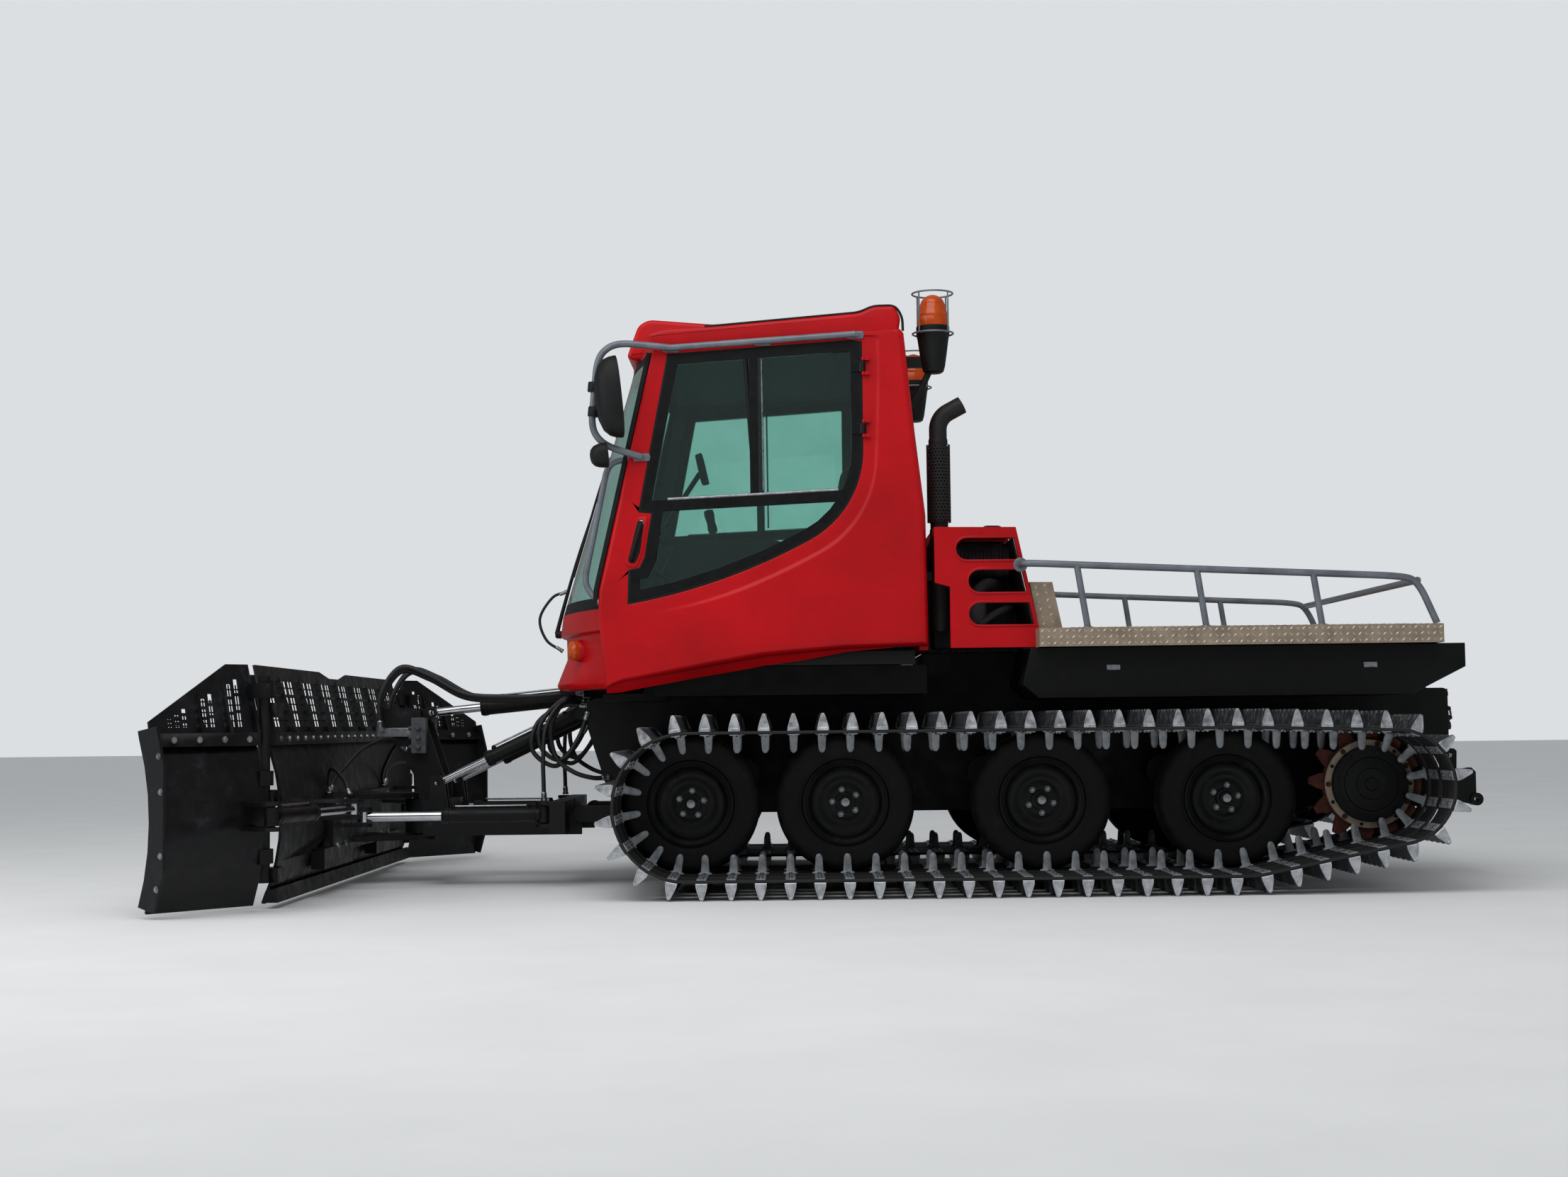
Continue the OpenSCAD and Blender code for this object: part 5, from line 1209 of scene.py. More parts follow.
grip_line = [(0.990, cab_y + 0.010, 1.640), (0.990, cab_y + 0.030, 1.630),
             (1.034, cab_y + 0.030, 1.480), (1.034, cab_y + 0.010, 1.470)]
handle = together(plate_on_side(bowl, cab_y + 0.004, 0.008, 0.003),
                  piped(rounded(grip_line, 0.02), 0.010, 12))
lock = turned([(0, 0), (11, 0), (11, 5), (9, 6), (3, 6), (0, 5)], (0.987, cab_y + 0.011, 1.640), (0, 1, 0),
              20)
strip_line = [(0.520, cab_y - 0.008, 2.392), (0.500, cab_y - 0.008, 2.05), (0.480, cab_y - 0.008, 1.775)]
window_frame = piped(strip_line, 0.010, 8)
channel = [piped([(0.870, cab_y - 0.002, 1.7445), (0.5, cab_y - 0.002, 1.7605),
                  (0.110, cab_y - 0.002, 1.7785)], 0.007, 8),
           piped([(0.447, cab_y - 0.010, 2.400), (0.445, cab_y - 0.010, 2.05), (0.443, cab_y - 0.010, 1.780)],
                 0.0045, 8)]
for side, place in each_side:
    body = "door_" + side
    piece("door_pull_" + side, place(plate_on_side(pull, cab_y + 0.0005, 0.006, 0.004)), lacquer, body,
          crease=40)
    piece("door_handle_" + side, place(handle), trim_black, body, crease=40)
    piece("door_lock_" + side, place(lock), worn_steel, body, crease=40)
    piece("window_frame_" + side, place(window_frame), trim_black, body, crease=50)
    piece("window_channel_" + side, place(together(*channel)), worn_steel, body, crease=50)

# %% [markdown]
# ## Behind the cab
# The exhaust stands in a perforated shield. Its holes are real: the shield is a grid of square cells, each
# with an octagonal hole, wrapped round a cylinder.

# %% Exhaust
def perforated(centre, radius, z0, z1, columns, rows, wall_t=0.002, hole=0.31):
    """Cells of eight points on a square and eight on a hole, outside and inside, wrapped round: a cell's
    place across becomes the angle, its place up the height."""
    square = np.array([(-1, -1), (0, -1), (1, -1), (1, 0), (1, 1), (0, 1), (-1, 1), (-1, 0)]) * 0.5
    a = np.arctan2(square[:, 1], square[:, 0])
    circle = hole * np.stack([np.cos(a), np.sin(a)], 1)
    uv = np.concatenate([square, circle, circle, square])
    depth = np.repeat([0, 0, 1, 1], 8) * wall_t
    i, j = np.meshgrid(np.arange(columns), np.arange(rows), indexing="ij")
    u = (i.reshape(-1, 1) + 0.5 * (j.reshape(-1, 1) % 2) + uv[:, 0]) / columns * 2 * pi
    z = z0 + (j.reshape(-1, 1) + 0.5 + uv[:, 1]) / rows * (z1 - z0)
    r = radius - depth
    verts = np.stack([centre[0] + r * np.cos(u), centre[1] + r * np.sin(u), z], -1).reshape(-1, 3)
    k = np.arange(8)
    n = (k + 1) % 8
    cell = np.concatenate([np.stack([k + 8 * g, n + 8 * g, n + 8 * g + 8, k + 8 * g + 8], 1)
                           for g in range(3)])
    faces = (np.arange(columns * rows)[:, None, None] * 32 + cell[None]).reshape(-1, 4)
    return verts, faces.tolist()


stack_c = np.array((-0.350, 0.750))
a = np.radians(np.linspace(0, 62, 12))
elbow = np.stack([-0.440 + 0.090 * np.cos(a), np.full(12, 0.750), 2.068 + 0.090 * np.sin(a)], 1)
end = elbow[-1] + np.array([-math.sin(a[-1]), 0, math.cos(a[-1])]) * 0.072
tail = np.concatenate([[(-0.350, 0.750, z) for z in (1.150, 1.640, 2.000)], elbow, [end]])
outer_rings, inner_rings = tube_rings(tail, 0.0405, 32), tube_rings(tail[-6:], 0.0375, 32)
stack_parts = [loft(np.concatenate([outer_rings, inner_rings[::-1]]))]
band = [(0.036, -0.012), (0.043, -0.012), (0.044, 0), (0.043, 0.012), (0.036, 0.012)]
stack_parts += [spun(band, (-0.350, 0.750, z), (0, 0, 1), 32) for z in (1.600, 2.012)]
stack_parts.append(piped([(-0.360, 0.330, 1.202), (-0.360, 0.55, 1.202), (-0.358, 0.740, 1.202)], 0.034, 24))
stack_parts.append(slab([(-0.350, 1.380), (-0.2815, 1.380), (-0.2805, 1.420), (-0.350, 1.420)], 0.735, 0.765))
piece("exhaust_pipe", together(*stack_parts), exhaust_black, replaces=["exhaust"], crease=40)
piece("exhaust_shield", perforated(stack_c, 0.054, 1.644, 1.998, 22, 24), exhaust_black, crease=30)

# %% Engine bay
filter_at = (-0.640, 0.640, 1.480)
pleats = [spun([(0.078, 0.000), (0.084, 0.004), (0.078, 0.009)], (-0.640 + 0.017 * k, 0.640, 1.480),
               (1, 0, 0), 28)
          for k in range(14)]
can = [(0, -0.03), (0.070, -0.03), (0.078, 0.0), (0.078, 0.24), (0.070, 0.27), (0, 0.27)]
wide_pipe = [(-0.640, 0.33, 1.32), (-0.620, 0.62, 1.36), (-0.540, 0.80, 1.350), (-0.450, 0.82, 1.24),
             (-0.440, 0.70, 1.10)]
thin_pipe = [(-0.700, 0.40, 1.22), (-0.660, 0.72, 1.25), (-0.560, 0.84, 1.205), (-0.470, 0.80, 1.12)]
pump = [(0, 0), (0.055, 0), (0.060, 0.01), (0.060, 0.13), (0.050, 0.15), (0.020, 0.155), (0, 0.155)]
bay = together(*pleats, spun(can, filter_at, (1, 0, 0), 28), piped(curve_through(wide_pipe, 40), 0.026, 16),
               piped(curve_through(thin_pipe, 32), 0.017, 12),
               spun(pump, (-0.500, 0.800, 1.180), (0.1, 0, 1), 24))
piece("engine_ancillaries", bay, cast_grey, crease=35)
ribs_on = [block((-0.740 + 0.05 * k, 0.3302, 0.55), (-0.722 + 0.05 * k, 0.352, 1.30)) for k in range(8)]
piece("engine_ribs", together(*ribs_on), cast_grey, crease=20, edge=0.004)
hook_line = [(-0.560, 0.640, 1.604), (-0.560, 0.640, 1.632), (-0.640, 0.640, 1.631), (-0.640, 0.640, 1.603)]
pair("cover_handles", [piped(rounded(hook_line, 0.02), 0.007, 10)], trim_black, crease=50)

# %% [markdown]
# ## Deck
# The cargo deck is rolled chequer plate: low lozenges in two directions, turned at every other place, on its
# floor, its lip and the sloping cheeks.

# %% Chequer plate
def lug():
    """A lozenge 27 mm long and 9 mm wide with a ridge 2 mm high, standing on the plate's plane."""
    p = np.array([(-13.5, 0, -0.3), (0, -4.5, -0.3), (13.5, 0, -0.3), (0, 4.5, -0.3), (-8, 0, 2),
                  (8, 0, 2)]) * mm
    return p, [[1, 2, 5], [1, 5, 4], [0, 1, 4], [3, 0, 4], [3, 4, 5], [2, 3, 5], [0, 3, 2, 1]]


def plate_frames(origin, along, up, length, height, spacing=0.031):
    """Places of the lugs on a plane from its corner, one a cell, at plus or minus 45 degrees in turn."""
    along, up = np.asarray(along, float), np.asarray(up, float)
    out = np.cross(along, up)
    n, m = int(length / spacing), int(height / spacing)
    i, j = np.meshgrid(np.arange(n), np.arange(m), indexing="ij")
    i, j = i.reshape(-1, 1), j.reshape(-1, 1)
    place = np.asarray(origin) + along * (i + 0.5) * length / n + up * (j + 0.5) * height / m
    half = math.sqrt(0.5)
    turn = np.where((i + j) % 2 == 0, 1.0, -1.0) * half
    x = along * half + up * turn
    y = up * half - along * turn
    return np.stack([x, y, np.broadcast_to(out, x.shape), place], 1)


deck_top, deck_low, deck_side = 1.146, 1.064, 1.100
sheets = [
    plate_frames((-2.390, -1.020, deck_top + 0.004), (1, 0, 0), (0, 1, 0), 1.490, 2.040),
    plate_frames((-0.756, deck_side, deck_low), (-1, 0, 0), (0, 0, 1), 1.764, 0.082, 0.027),
    plate_frames((-2.520, -deck_side, deck_low), (1, 0, 0), (0, 0, 1), 1.764, 0.082, 0.027),
    plate_frames((-2.520, deck_side, deck_low), (0, -1, 0), (0, 0, 1), 2.200, 0.082, 0.027),
    plate_frames((-2.520, 1.020, deck_top), (1, 0, 0), (0, 1, 0), 1.620, 0.080, 0.027),
    plate_frames((-2.520, -1.100, deck_top), (1, 0, 0), (0, 1, 0), 1.620, 0.080, 0.027),
    plate_frames((-0.780, 0.930, 1.150), (-0.98, 0, 0.20), (0.20, 0, 0.98), 0.080, 0.200, 0.029),
]
lug_points, lug_faces = lug()
lugs = together(*[repeated(lug_points, lug_faces, f) for f in sheets])
piece("deck_lugs", lugs, plate_wear, crease=20)

# %% Railing
rail_line = [(-0.694, 1.434), (-2.341, 1.358), (-2.422, 1.338), (-2.502, 1.150)]
rail_y, foot_z = deck_side - 0.040, 1.1466
top_line = [(-0.694, cab_y + 0.002, 1.434)] + [(x, rail_y, z) for x, z in rail_line]
rails = [piped(rounded(top_line, 0.11, count=8), 0.0155, 16)]
for x, foot in ((-0.930, -0.973), (-1.455, -1.492), (-1.965, -1.999)):
    z = np.interp(x, [-2.341, -0.694], [1.358, 1.434])
    post = [(x, rail_y, z), (0.5 * (x + foot), rail_y, 0.5 * (z + deck_top)), (foot, rail_y, foot_z)]
    weld = [(0.015, 0.0), (0.024, 0.0), (0.0225, 0.004), (0.015, 0.006)]
    rails += [piped(post, 0.0145, 16), spun(weld, (foot, rail_y, foot_z - 0.0004), (0, 0, 1), 24)]
rails.append(spun([(0, 0.0), (0.032, 0.0), (0.032, 0.004), (0.028, 0.006), (0, 0.006)],
                  (-0.694, cab_y, 1.434), (0, 1, 0), 24))
cross_rail = piped([(-2.422, y, 1.338) for y in (-rail_y, 0, rail_y)], 0.0155, 16)
piece("deck_railing", together(both_sides(together(*rails)), cross_rail), rail_paint, replaces=["deck_rails"],
      crease=50)

# %% Door hinges
hinge_x, hinge_y = 0.006 - 0.014, cab_y + 0.014
knuckle = [(0, 0), (0.0075, 0), (0.009, 0.0015), (0.009, 0.0125), (0.0075, 0.014), (0, 0.014)]
hinges = []
for z in (2.050, 2.330):
    for z0 in (z - 0.040, z + 0.026):
        hinges.append(spun(knuckle, (hinge_x, hinge_y, z0), (0, 0, 1), 24))
        hinges.append(block((hinge_x - 0.028, cab_y - 0.006, z0), (hinge_x, cab_y + 0.020, z0 + 0.014)))
    hinges.append(spun([(0, 0), (0.006, 0), (0.006, 0.080), (0, 0.080)], (hinge_x, hinge_y, z - 0.040),
                       (0, 0, 1), 20))
pair("door_hinge_lugs", hinges, lacquer, crease=30, edge=0.001)

# %% Air box over the engine
box_line = soft_loop([(-0.690, 1.403), (-0.330, 1.403), (-0.330, 1.545), (-0.420, 1.560), (-0.640, 1.560),
                      (-0.680, 1.520)], 0.03)
core_line = soft_loop([(-0.752, 1.080), (-0.330, 1.080), (-0.330, 1.395), (-0.690, 1.395)], 0.02)
air_box = together(moulding(box_line, 0.560, 0.020), moulding(core_line, 0.500, 0.010))
piece("air_box", air_box, exhaust_black, crease=35)

# %% Slot rims and the bay's back
def slot_loop(front, back, low, high):
    """A slot's outline: half round in front, slanting behind."""
    h = high - low
    return np.concatenate([[(back - 0.21 * h, low)], arc((front - h / 2, low + h / 2), h / 2, -90, 90, 10),
                           [(back, high)]])


rims_on = []
for slot in ((-0.409, -0.669, 1.459, 1.556), (-0.462, -0.701, 1.314, 1.414), (-0.462, -0.732, 1.169, 1.267)):
    rims_on.append(ribbon(grown(anticlockwise(slot_loop(*slot)), 0.0045), cab_y + 0.0005, 0.009, 0.004))
pair("slot_rims", rims_on, lacquer, crease=60)
bay_back = slab([(-0.668, 1.560), (-0.766, 1.110), (-0.760, 1.109), (-0.662, 1.559)], -0.905, 0.905)
piece("bay_back", bay_back, exhaust_black, crease=20)

# %% [markdown]
# ## Seats
# Each pad starts a little small, is made of even voxels and blown up for twenty frames by a gentle pressure.
# No point may move further than 10 mm. A piped seam then runs round its edge.


# %% Seat pads
def points_of(mesh):
    """The mesh's points as an array."""
    at = np.empty(len(mesh.vertices) * 3)
    mesh.vertices.foreach_get("co", at)
    return at.reshape(-1, 3)


def puffed(name, shape, cap=0.010, voxel=0.009, pressure=4, frames=20):
    """A closed shape turned into a pad: even voxels, cloth under pressure without gravity for 20 frames,
    each point's way cut to the cap, then one subdivision."""
    pad = piece(name, shape, seat_cloth, crease=180)
    remesh = pad.modifiers.new("voxels", "REMESH")
    remesh.mode, remesh.voxel_size = "VOXEL", voxel
    scene = bpy.context.scene
    graph = bpy.context.evaluated_depsgraph_get()
    pad.data = bpy.data.meshes.new_from_object(pad.evaluated_get(graph))
    pad.modifiers.clear()
    start = points_of(pad.data)
    cloth = pad.modifiers.new("foam", "CLOTH")
    cloth.settings.use_pressure = True
    cloth.settings.uniform_pressure_force = pressure
    cloth.settings.effector_weights.gravity = 0
    for frame_number in range(1, frames + 1):
        scene.frame_set(frame_number)
    way = points_of(pad.evaluated_get(bpy.context.evaluated_depsgraph_get()).data) - start
    length = np.linalg.norm(way, axis=1)[:, None]
    way *= np.minimum(1, cap / np.maximum(length, 1e-9))
    pad.modifiers.clear()
    pad.data.vertices.foreach_set("co", (start + way).ravel())
    pad.data.shade_smooth()
    subdivision = pad.modifiers.new("fine", "SUBSURF")
    subdivision.levels = subdivision.render_levels = 1
    scene.frame_set(1)
    return pad


seat_y, cloth_r = 0.340, 0.030
cushion_line = soft_loop([(0.165, 1.262), (0.600, 1.262), (0.606, 1.330), (0.570, 1.366), (0.300, 1.352),
                          (0.170, 1.366)], 0.03)
back_line = soft_loop([(0.160, 1.280), (0.186, 1.300), (0.182, 1.400), (0.140, 1.640), (0.100, 1.780),
                       (0.076, 1.935), (0.020, 1.938), (0.012, 1.900), (0.050, 1.390)], 0.03)
for side, way in (("left", 1), ("right", -1)):
    for name, line, half in (("seat_cushion_", cushion_line, 0.215), ("seat_back_", back_line, 0.205)):
        puffed(name + side, moved(moulding(line, half, cloth_r), (0, way * seat_y, 0)))

# %% Seat shells and the display
pan_line = soft_loop([(0.200, 1.0625), (0.540, 1.0625), (0.560, 1.230), (0.590, 1.256), (0.160, 1.256),
                      (0.180, 1.230)], 0.02)
shell_line = [(0.150, 1.256), (0.150, 1.290), (0.046, 1.380), (0.006, 1.900), (0.000, 1.900), (0.034, 1.370),
              (0.120, 1.256)]
seam_line = rounded([(0.585, 0.16, 1.358), (0.585, 0.52, 1.358), (0.200, 0.52, 1.364), (0.200, 0.16, 1.364)],
                    0.04, closed=True)
seam_line = np.concatenate([seam_line, seam_line[:1]])
shells = []
for way in (1, -1):
    shells.append(moved(moulding(pan_line, 0.185, 0.012), (0, way * seat_y, 0)))
    shells.append(moved(moulding(shell_line, 0.200, 0.010), (0, way * seat_y, 0)))
    shells.append(piped(seam_line * [1, way, 1], 0.004, 6))
piece("seat_shells", together(*shells), trim_black, replaces=["seats"], crease=35)
screen_line = soft_loop([(0.700, 1.860), (0.735, 1.855), (0.760, 1.975), (0.728, 1.985)], 0.01)
screen_box = moved(moulding(screen_line, 0.110, 0.008), (0, 0.580, 0))
stalk_line = [(1.060, 0.60, 1.330), (0.960, 0.60, 1.560), (0.820, 0.590, 1.780), (0.742, 0.580, 1.900)]
stalk = piped(curve_through(stalk_line, 24), 0.012, 12)
piece("display", together(screen_box, stalk), trim_black, crease=35)

# %% [markdown]
# ## Hydraulics
# Every cylinder has a gland where its rod comes out, ports near both ends, and a steel line along its
# barrel. Rubber hoses hang between chassis, push frame and blade.


# %% Glands, ports and lines
def cylinder_trim(a, b, reach, r, up=(0, 0, 1)):
    """Gland ring, two ports and the line between them for a barrel that starts at a and points at b."""
    a, b = np.asarray(a, float), np.asarray(b, float)
    d = (b - a) / np.linalg.norm(b - a)
    out = np.asarray(up, float) - d * np.dot(up, d)
    out /= np.linalg.norm(out)
    gland = mm * np.array([(-2, -34), (3, -32), (3, -10), (1, -6), (-4, 1), (-9, 1)]) + [r, reach]
    foot = mm * np.array([(-2, 40), (2.5, 42), (2.5, 52), (-2, 54)]) + [r, 0]
    port = [(0, 0), (12, 0), (12, 9), (9, 10), (9, 16), (6, 18), (0, 18)]
    shapes, ends = [spun(gland, a, d, 36), spun(foot, a, d, 36)], []
    for s in (0.075, reach - 0.055):
        base = a + d * s + out * (r - 4 * mm)
        shapes.append(turned(port, base, out, 16))
        ends.append(base + out * 14 * mm)
    line = piped(rounded([ends[0], ends[0] + d * 0.04, ends[1] - d * 0.04, ends[1]], 0.02), 0.005, 10)
    return together(*shapes), line


trims = {
    "lift_barrels": [((1.320, y, 0.800), (2.000, y, 0.481), 0.500, 0.034) for y in (0.288, -0.288)],
    "top_barrel": [((1.335, 0, 0.885), (2.075, 0, 0.815), 0.505, 0.040)],
    "angle_barrel_left": [((1.480, 0.480, 0.335), (2.300, 0.560, 0.335), 0.470, 0.033)],
    "angle_barrel_right": [((1.480, -0.480, 0.335), (2.300, -0.560, 0.335), 0.470, 0.033)],
    "wing_barrel_left": [((2.422, 1.830, 0.390), (2.250, 1.050, 0.390), 0.400, 0.032)],
    "wing_barrel_right": [((2.268, -1.554, 0.390), (2.250, -1.050, 0.390), 0.400, 0.032)],
    "rear_barrel": [((-2.808, 0, 0.850), (-2.845, 0, 0.555), 0.175, 0.034, (-1, 0, 0))],
}
for body, rows in trims.items():
    made = [cylinder_trim(*row) for row in rows]
    piece(body + "_fittings", together(*[m[0] for m in made]), frame_black, body, crease=35)
    piece(body + "_line", together(*[m[1] for m in made]), worn_steel, body, crease=50)

# %% Hoses
def sleeve(at, direction, r):
    """A crimped end sleeve with its hexagon, along the hose's last stretch."""
    profile = [(0, -4 * mm), (r * 1.5, -4 * mm), (r * 1.5, 6 * mm), (r * 1.15, 8 * mm)]
    profile += [(r * (1.28 - 0.06 * (k % 2)), (10 + 3 * k) * mm) for k in range(8)] + [(r * 1.02, 36 * mm)]
    return spun(profile, at, direction, 14)


def hose(name, points, diameter, first, second=None):
    """A hose on a smooth line through its points, with a sleeve at each end. The hose rides on one body.
    Given two, it stays where it is, on no body, and its sleeves ride on the first and the second.
    """
    path = curve_through(points, 12 * len(points))
    body = first if second is None else (first, second, path[0].tolist(), path[-1].tolist())
    made = piece(name, piped(path, diameter / 2, 12), hose_rubber, body, crease=70)
    ends = [piece(name + tag, sleeve(path[k], path[k + step] - path[k], diameter / 2), worn_steel, rides,
                  crease=40)
            for tag, k, step, rides in (("_start", 0, 1, first), ("_end", -1, -1, second or first))]


def other_side(points):
    """The same line on the machine's other side."""
    return [(x, -y, z) for x, y, z in points]


# %% Arch hoses over the push frame
arch = np.array([(2.300, 0, 0.742), (2.298, 0, 0.880), (2.205, 0.006, 1.012), (2.070, 0.016, 0.975),
                 (1.900, 0.020, 0.885), (1.700, 0.022, 0.868), (1.500, 0.020, 0.872), (1.330, 0.016, 0.892)])
for k, (y, rise) in enumerate(((0.128, 0.0), (0.160, 0.018), (-0.128, 0.0), (-0.160, 0.014))):
    line = arch * [1, -np.sign(y), 1] + [0, y, rise]
    line[0, 2] = arch[0, 2]
    hose("arch_hose_%d" % k, line, 0.024, "push_frame", "chassis")

# %% Hoses on both sides
loops = [
    [(1.292, 0.340, 0.835), (1.400, 0.352, 0.838), (1.520, 0.366, 0.760), (1.545, 0.372, 0.630),
     (1.440, 0.374, 0.556), (1.350, 0.372, 0.640), (1.292, 0.366, 0.740)],
    [(1.290, 0.310, 0.858), (1.390, 0.372, 0.872), (1.500, 0.398, 0.760), (1.500, 0.404, 0.640),
     (1.410, 0.404, 0.585), (1.330, 0.400, 0.680), (1.285, 0.372, 0.800)],
    [(1.290, 0.240, 0.862), (1.380, 0.400, 0.868), (1.450, 0.432, 0.740), (1.430, 0.436, 0.600),
     (1.350, 0.436, 0.530), (1.260, 0.420, 0.500), (1.190, 0.385, 0.500)],
]
for k, line in enumerate(loops):
    hose("loop_hose_%d" % k, line, 0.022, "chassis")
    hose("loop_hose_%d" % (k + 3), other_side(line), 0.022, "chassis")
drop = [(1.290, 0.270, 0.860), (1.400, 0.420, 0.850), (1.470, 0.462, 0.740), (1.484, 0.476, 0.600),
        (1.482, 0.480, 0.480), (1.480, 0.480, 0.402)]
reach_out = [(2.180, 0.150, 0.640), (2.235, 0.240, 0.690), (2.330, 0.400, 0.650), (2.400, 0.520, 0.560),
             (2.432, 0.600, 0.500), (2.434, 0.640, 0.455)]
wing_feed = [(2.434, 0.680, 0.455), (2.420, 0.740, 0.540), (2.370, 0.880, 0.560), (2.300, 0.990, 0.510),
             (2.268, 1.040, 0.452)]
for name, line, diameter, *bodies in (("drop_hose_", drop, 0.020, "chassis", "push_frame"),
                                      ("feed_hose_", reach_out, 0.018, "push_frame", "blade"),
                                      ("wing_hose_", wing_feed, 0.018, "blade")):
    hose(name + "left", line, diameter, *bodies)
    hose(name + "right", other_side(line), diameter, *bodies)
washer = [(1.430, -0.084, 1.400), (1.500, -0.090, 1.372), (1.562, -0.095, 1.270), (1.530, -0.092, 1.165),
          (1.452, -0.085, 1.110)]
hose("washer_hose", washer, 0.014, "chassis")

# %% Valve block and unions on the tower
outer_union = [(0, 0), (14, 0), (14, 10), (10, 12), (10, 26), (0, 26)]
front_union = [(0, 0), (12, 0), (12, 14), (8, 20), (0, 20)]
valves = [block((2.080, 0.109, 0.620), (2.150, 0.170, 0.790)),
          block((2.080, -0.170, 0.620), (2.150, -0.109, 0.790))]
for z in (0.650, 0.695, 0.740):
    for n in (1, -1):
        valves.append(turned(outer_union, (2.115, 0.168 * n, z), (0, n, 0), 6))
        valves.append(turned(front_union, (2.148, 0.140 * n, z), (1, 0, 0), 6))
piece("valve_block", together(*valves), cast_grey, "push_frame", crease=30, edge=0.002)
plates_on = [block((2.150, n * 0.118 - 0.012, 0.700), (2.322, n * 0.118 + 0.012, 0.742)) for n in (1, -1)]
plates_on += [block((2.284, 0.120, 0.728), (2.316, 0.172, 0.744)),
              block((2.284, -0.172, 0.728), (2.316, -0.120, 0.744))]
piece("hose_bracket", together(*plates_on), worn_steel, "push_frame", crease=20, edge=0.002)

# %% [markdown]
# ## Blade
# Finer wires fill the grille's openings, and bolt heads hold the wear strips. What sits on a swung wing is
# drawn on the wing as it points straight out, then turned about the hinge with it.

# %% Grille wires
lean_a, grille_x, rail_top = math.radians(12), 2.500, 0.727
grille_h = 0.283 / math.cos(lean_a)


def on_grille(y, h, d=0.005):
    """A place on the leaning sheet: y across, h up its face and d out of its back."""
    c, s = math.cos(lean_a), math.sin(lean_a)
    return (grille_x + d * c + h * s, y, rail_top + h * c - d * s)


def wire(y0, h0, y1, h1):
    """A straight wire on the sheet between two places (y, h)."""
    return piped([on_grille(y0, h0), on_grille((y0 + y1) / 2, (h0 + h1) / 2), on_grille(y1, h1)], 0.0035, 6)


edge_y = 1.549
foot_h = 0.020
cell = (grille_h - 0.028 - 0.046) / 3
wires_on = [wire(-edge_y, h, edge_y, h) for h in foot_h + (np.arange(3) + 0.5) * cell]
wires_on += [wire(y, 0.018, y, grille_h - 0.050) for y in -edge_y + (np.arange(24) + 0.5) * edge_y / 12]
piece("grille_wires", together(*wires_on), blade_black, "blade", crease=60)


# %% Bolts of the blade and the wings
def hex_head(at, facing, r=0.010, h=0.007):
    """Washer and hexagon head on a face, turned about the facing direction with six sides."""
    washer = [(0, -1 * mm), (r * 1.35, -1 * mm), (r * 1.35, 1.5 * mm), (0, 1.5 * mm)]
    head = [(0, 1 * mm), (r, 1 * mm), (r, h), (r * 0.85, h + 1 * mm), (0, h + 1 * mm)]
    return together(spun(washer, at, facing, 18), spun(head, at, facing, 6))


bolt_x, bolt_z, last_y = 2.470, 0.702, 1.47
blade_bolts = [hex_head((bolt_x, y, bolt_z), (-1, 0, 0)) for y in np.linspace(-last_y, last_y, 20)]
blade_bolts += [hex_head((2.5215, y, 0.060), (0.94, 0, 0.34), 0.012)
                for y in np.linspace(-last_y, last_y, 16)]
blade_bolts += [hex_head((2.4095, y, z), (-1, 0, 0), 0.012) for y in (-0.62, -0.45, 0.45, 0.62)
                for z in (0.210, 0.410)]
piece("blade_bolts", together(*blade_bolts), worn_steel, "blade", crease=30)
wing_bolts = [hex_head((bolt_x, y, bolt_z), (-1, 0, 0)) for y in (1.70, 1.82, 1.94, 2.06)]
wing_bolts += [hex_head((x, 2.150, z), (0, 1, 0)) for x,
               z in ((2.440, 0.640), (2.425, 0.500), (2.425, 0.250), (2.450, 0.120))]
wing_wires, window_step, wire_step, fall = [], 0.132, 0.0352, 0.062
for i in range(3):
    top = grille_h - 0.010 - fall * (i + 0.6)
    y0, y1 = 1.699 + window_step * i, 1.699 + window_step * (i + 0.8)
    wing_wires += [wire(y0, h, y1, h) for h in foot_h + (np.arange(3) + 0.5) * (top - 0.046) / 3]
    wing_wires += [wire(y, 0.018, y, top - 0.040) for y in y0 + (np.arange(3) + 0.5) * wire_step]


def swung(shape, degrees, hinge=(2.510, 1.600, 0)):
    """The shape turned back about the wing's hinge: x' = x cos a + y sin a, y' = y cos a - x sin a."""
    verts, faces = shape
    c, s = math.cos(math.radians(degrees)), math.sin(math.radians(degrees))
    x, y, z = (verts - hinge).T
    return np.stack([x * c + y * s, y * c - x * s, z], 1) + hinge, faces


for (side, place), degrees in zip(each_side, (40, -40)):
    piece("wing_bolts_" + side, place(swung(together(*wing_bolts), degrees)), worn_steel, "wing_" + side,
          crease=30)
    piece("wing_wires_" + side, place(swung(together(*wing_wires), degrees)), blade_black, "wing_" + side,
          crease=60)

# %% [markdown]
# ## Running gear
# The sprocket's rusty plate is bolted to the final drive by a ring of bare steel. Seen from the side, hub
# caps, wheel arms and the drum's cover give the dark space inside the track its depth.

# %% Sprocket ring and drum
def about_sprocket(radius, y, angles):
    """Places on a circle about the sprocket's axle."""
    return [(sprocket[0] + radius * math.cos(a), y, sprocket[1] + radius * math.sin(a)) for a in angles]


